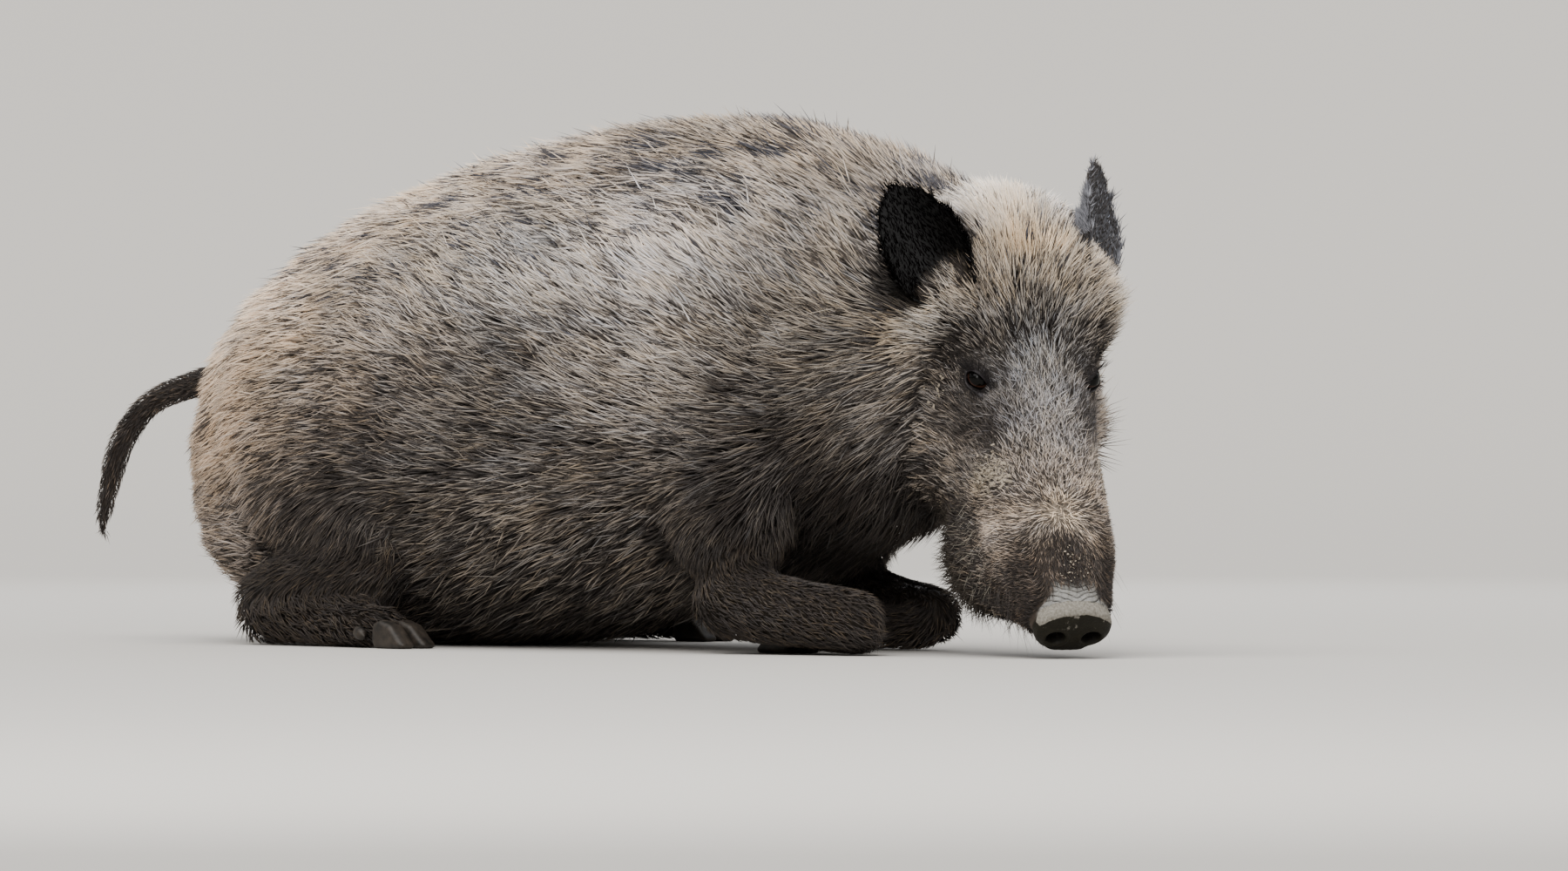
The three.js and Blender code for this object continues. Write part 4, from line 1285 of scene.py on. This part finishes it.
def eye_material():
    """A live eye, wet and smooth: black pupil, chestnut iris, dark edge, with painted shade from the upper
    lid over the top of the iris.
    """
    material, tree = fresh_material("wet_eye")
    gaze = node(tree, "Attribute", attribute_name="gaze")
    # The pattern sits high on the ball, so black covers the top of the iris and only a crescent shows below
    # the pupil: painted shade from the upper lid.
    parts = node(tree, "SeparateXYZ", {0: gaze.outputs["Vector"]})
    flat = node(tree, "Math", {0: parts.outputs[1], 1: 1.15, 2: -0.3}, operation="MULTIPLY_ADD")
    wide = node(tree, "Math", {0: parts.outputs[0], 1: 0.75}, operation="MULTIPLY")
    oval = node(tree, "CombineXYZ", {0: wide.outputs[0], 1: flat.outputs[0]})
    away = node(tree, "VectorMath", {0: oval.outputs[0]}, operation="LENGTH")
    ramp = node(tree, "ValToRGB", {0: away.outputs["Value"]})
    colour_stops(ramp, [
        (0.0, "#020202"), (0.60, "#030302"), (0.66, "#1a0e09"), (0.76, "#37221a"), (0.82, "#120a07"),
        (0.88, "#080505"), (1.0, "#0a0807")])
    shader = node(tree, "BsdfPrincipled", {
        "Base Color": ramp.outputs[0], "Roughness": 0.05, "IOR": 1.38, "Specular IOR Level": 0.2})
    node(tree, "OutputMaterial", {"Surface": shader.outputs[0]})
    return material


def horn_material():
    """Hoof horn: grown keratin, dark, worn dull, with growth rings across it and dry soil on it."""
    material, tree = fresh_material("worn_horn")
    place = node(tree, "TexCoord").outputs["Object"]
    growth = node(tree, "Attribute", attribute_name="growth")
    rings = node(tree, "TexNoise", {
        "W": growth.outputs["Fac"], "Scale": 700.0, "Detail": 2.0}, noise_dimensions="1D")
    stain = node(tree, "TexNoise", {
        "Vector": place, "Scale": 90.0, "Detail": 5.0, "Roughness": 0.65})
    both = node(tree, "Math", {
        0: rings.outputs[0], 1: 0.35, 2: stain.outputs[0]}, operation="MULTIPLY_ADD")
    ramp = node(tree, "ValToRGB", {0: both.outputs[0]})
    colour_stops(ramp, [(0.5, "#0d0b09"), (0.85, "#332c25")])
    bump = node(tree, "Bump", {"Height": rings.outputs[0], "Strength": 0.5, "Distance": 0.0006})
    shader = node(tree, "BsdfPrincipled", {
        "Base Color": ramp.outputs[0], "Roughness": 0.55, "Specular IOR Level": 0.3,
        "Normal": bump.outputs[0]})
    node(tree, "OutputMaterial", {"Surface": shader.outputs[0]})
    return material


# ---- Putting the boar together -----------------------------------------------------------------


def add_skin(points, triangles, fields, material):
    """The one skin, with its colour and the mud on it at each point."""
    mesh = mesh_of("skin", points, triangles)
    colour = hide_colours(points, fields["shade"], fields["values"][:, 0])
    give(mesh, "hide", "FLOAT_COLOR", "color", np.insert(colour, 3, 1.0, axis=1))
    give(mesh, "mud", "FLOAT", "value", mud_on_snout(points))
    add_piece("skin", mesh, material, FLESH)


def add_eye(name, eye, material):
    """An eyeball with its cornea, looking out between the lids."""
    ball = bmesh.new()
    bmesh.ops.create_uvsphere(ball, u_segments=48, v_segments=32, radius=1.0)
    mesh = bpy.data.meshes.new(name)
    ball.to_mesh(mesh)
    ball.free()
    axes = np.array([eye.across, eye.up, eye.out])
    way, _ = arrays_of(mesh)
    bulge = 0.07 * ease(0.80, 0.95, way[:, 2])
    points = way * ((1 + bulge) * eye.radius * 0.985)[:, None] * MM @ axes + eye.centre
    mesh.vertices.foreach_set("co", points.ravel())
    give(mesh, "gaze", "FLOAT_VECTOR", "vector", way)
    mesh.polygons.foreach_set("use_smooth", np.full(len(mesh.polygons), True))
    if np.linalg.det(axes) < 0:
        mesh.flip_normals()
    mesh.update()
    add_piece(name + "ball", mesh, material, [name])


def add_hoof(name, material):
    """A hoof with worn, rounded edges; growth holds how far along the leg each point lies."""
    copy = grown_copy(name, 0.0)
    plain = bpy.data.meshes.new(name)
    copy.to_mesh(plain)
    copy.free()
    points, triangles = evened(plain, HOOF_GRAIN)
    points = Net(len(points), triangles).smooth(points, 5)
    leg = "_".join(name.split("_")[:2])
    _, along, _ = along_core(points, core_of(leg))
    ridges = np.sin(along / MM * 2.1 + 5 * noise(points, 14, 81)) * (0.4 + noise(points, 9, 82))
    points = points + normals_of(points, triangles) * (0.22 * ridges)[:, None] * MM
    points[:, 2] = np.maximum(points[:, 2], 0.0003)
    mesh = mesh_of(name, points, triangles)
    give(mesh, "growth", "FLOAT", "value", along)
    add_piece(name + "_horn", mesh, material, [name])


def add_floor():
    """A plain pale floor that sweeps up far off on every side."""
    profile = [(15.0, 0.0), (17.0, 0.08), (19.0, 0.4), (21.0, 1.1), (23.0, 2.4), (24.5, 4.5), (25.0, 7.0)]
    turns = 96
    ring = [(math.cos(2 * math.pi * i / turns), math.sin(2 * math.pi * i / turns)) for i in range(turns)]
    verts = [(r * x, r * y, z) for r, z in profile for x, y in ring] + [(0, 0, 0)]
    centre = len(verts) - 1
    faces = [(centre, i, (i + 1) % turns) for i in range(turns)]
    for level in range(len(profile) - 1):
        low, high = level * turns, (level + 1) * turns
        faces += [(low + i, high + i, high + (i + 1) % turns, low + (i + 1) % turns) for i in range(turns)]
    mesh = bpy.data.meshes.new("floor")
    mesh.from_pydata(verts, [], faces)
    mesh.polygons.foreach_set("use_smooth", np.full(len(faces), True))
    material, tree = fresh_material("pale_floor")
    shader = node(tree, "BsdfPrincipled", {"Base Color": rgba("#b9b6b1"), "Roughness": 0.9})
    node(tree, "OutputMaterial", {"Surface": shader.outputs[0]})
    mesh.materials.append(material)
    shown("floor", mesh)


def add_light():
    """Soft light from everywhere, most from above, and a small lamp for the glint in the eyes."""
    world = bpy.data.worlds.new("studio")
    world.use_nodes = True
    world.node_tree.nodes["Background"].inputs[0].default_value = (0.86, 0.86, 0.88, 1)
    world.node_tree.nodes["Background"].inputs[1].default_value = 0.62
    bpy.context.scene.world = world
    for name, kind, place, power, colour, soft in [
            ("overhead", "SUN", (0.5, -0.9, 3.4), 4.6, (1.0, 0.98, 0.95), math.radians(70)),
            ("front", "AREA", (3.2, -3.6, 2.0), 60, (1.0, 0.97, 0.93), 2.6),
            ("back", "AREA", (-2.4, 2.6, 2.2), 35, (0.95, 0.97, 1.0), 2.4),
            ("glint", "AREA", (3.4, -3.2, 2.6), 45, (1.0, 1.0, 1.0), 0.6)]:
        light = bpy.data.lights.new(name, kind)
        light.energy = power
        light.color = colour
        if kind == "SUN":
            light.angle = soft
        else:
            light.shape = "DISK"
            light.size = soft
        lamp = bpy.data.objects.new(name, light)
        lamp.location = place
        lamp.rotation_euler = (Vector((0.1, 0, 0.25)) - Vector(place)).to_track_quat("-Z", "Y").to_euler()
        bpy.context.scene.collection.objects.link(lamp)


def add_camera():
    """The camera, level and far off at the right fore quarter, with a long lens."""
    lens = bpy.data.cameras.new("camera")
    lens.lens = 271.4
    lens.sensor_width = 36.0
    lens.shift_y = -0.0333
    lens.clip_end = 100
    camera = bpy.data.objects.new("camera", lens)
    look = Vector((-1, 1, 0)).normalized()
    camera.location = (9.013, -8.771, 0.280)
    camera.rotation_euler = look.to_track_quat("-Z", "Y").to_euler()
    bpy.context.scene.collection.objects.link(camera)
    bpy.context.scene.camera = camera


points, triangles, parts, net = boar_skin()
names = np.array(FLESH)[parts]
normals = normals_of(points, triangles)
values, _ = coat_values(points, normals, parts)
values = net.smooth(values, 6)
shade = net.smooth(shade_of_coat(points, normals, names), 4)
fields = {
    "normals": normals,
    "way": lie_of_coat(points, normals, names, net),
    "values": values,
    "shade": shade,
    "slate": slate_streaks(points, normals, names),
    "bare": bareness(points, names),
    "untidy": untidiness(points, names),
    "standing": standing(points, names),
}

add_skin(points, triangles, fields, hide_material())
bristle = hair_material("boar_bristle", 0.12)
# A copy of the hair material with no gloss, for the right ear: painted shade.
ear_down = hair_material("ear_down", 0.0)
add_coat(points, triangles, names, fields, bristle, ear_down)
add_lashes(bristle)
add_whiskers(points, normals, names, bristle)
add_ear_fringes(points, normals, names, {"ear_left": bristle, "ear_right": ear_down})
add_mud_crumbs(points, normals, values[:, 0], mud_material())
wet_eye = eye_material()
for eye_name, eye in zip(("eye_left", "eye_right"), EYES):
    add_eye(eye_name, eye, wet_eye)
horn = horn_material()
for hoof in HOOVES:
    add_hoof(hoof, horn)
add_floor()
add_light()
add_camera()
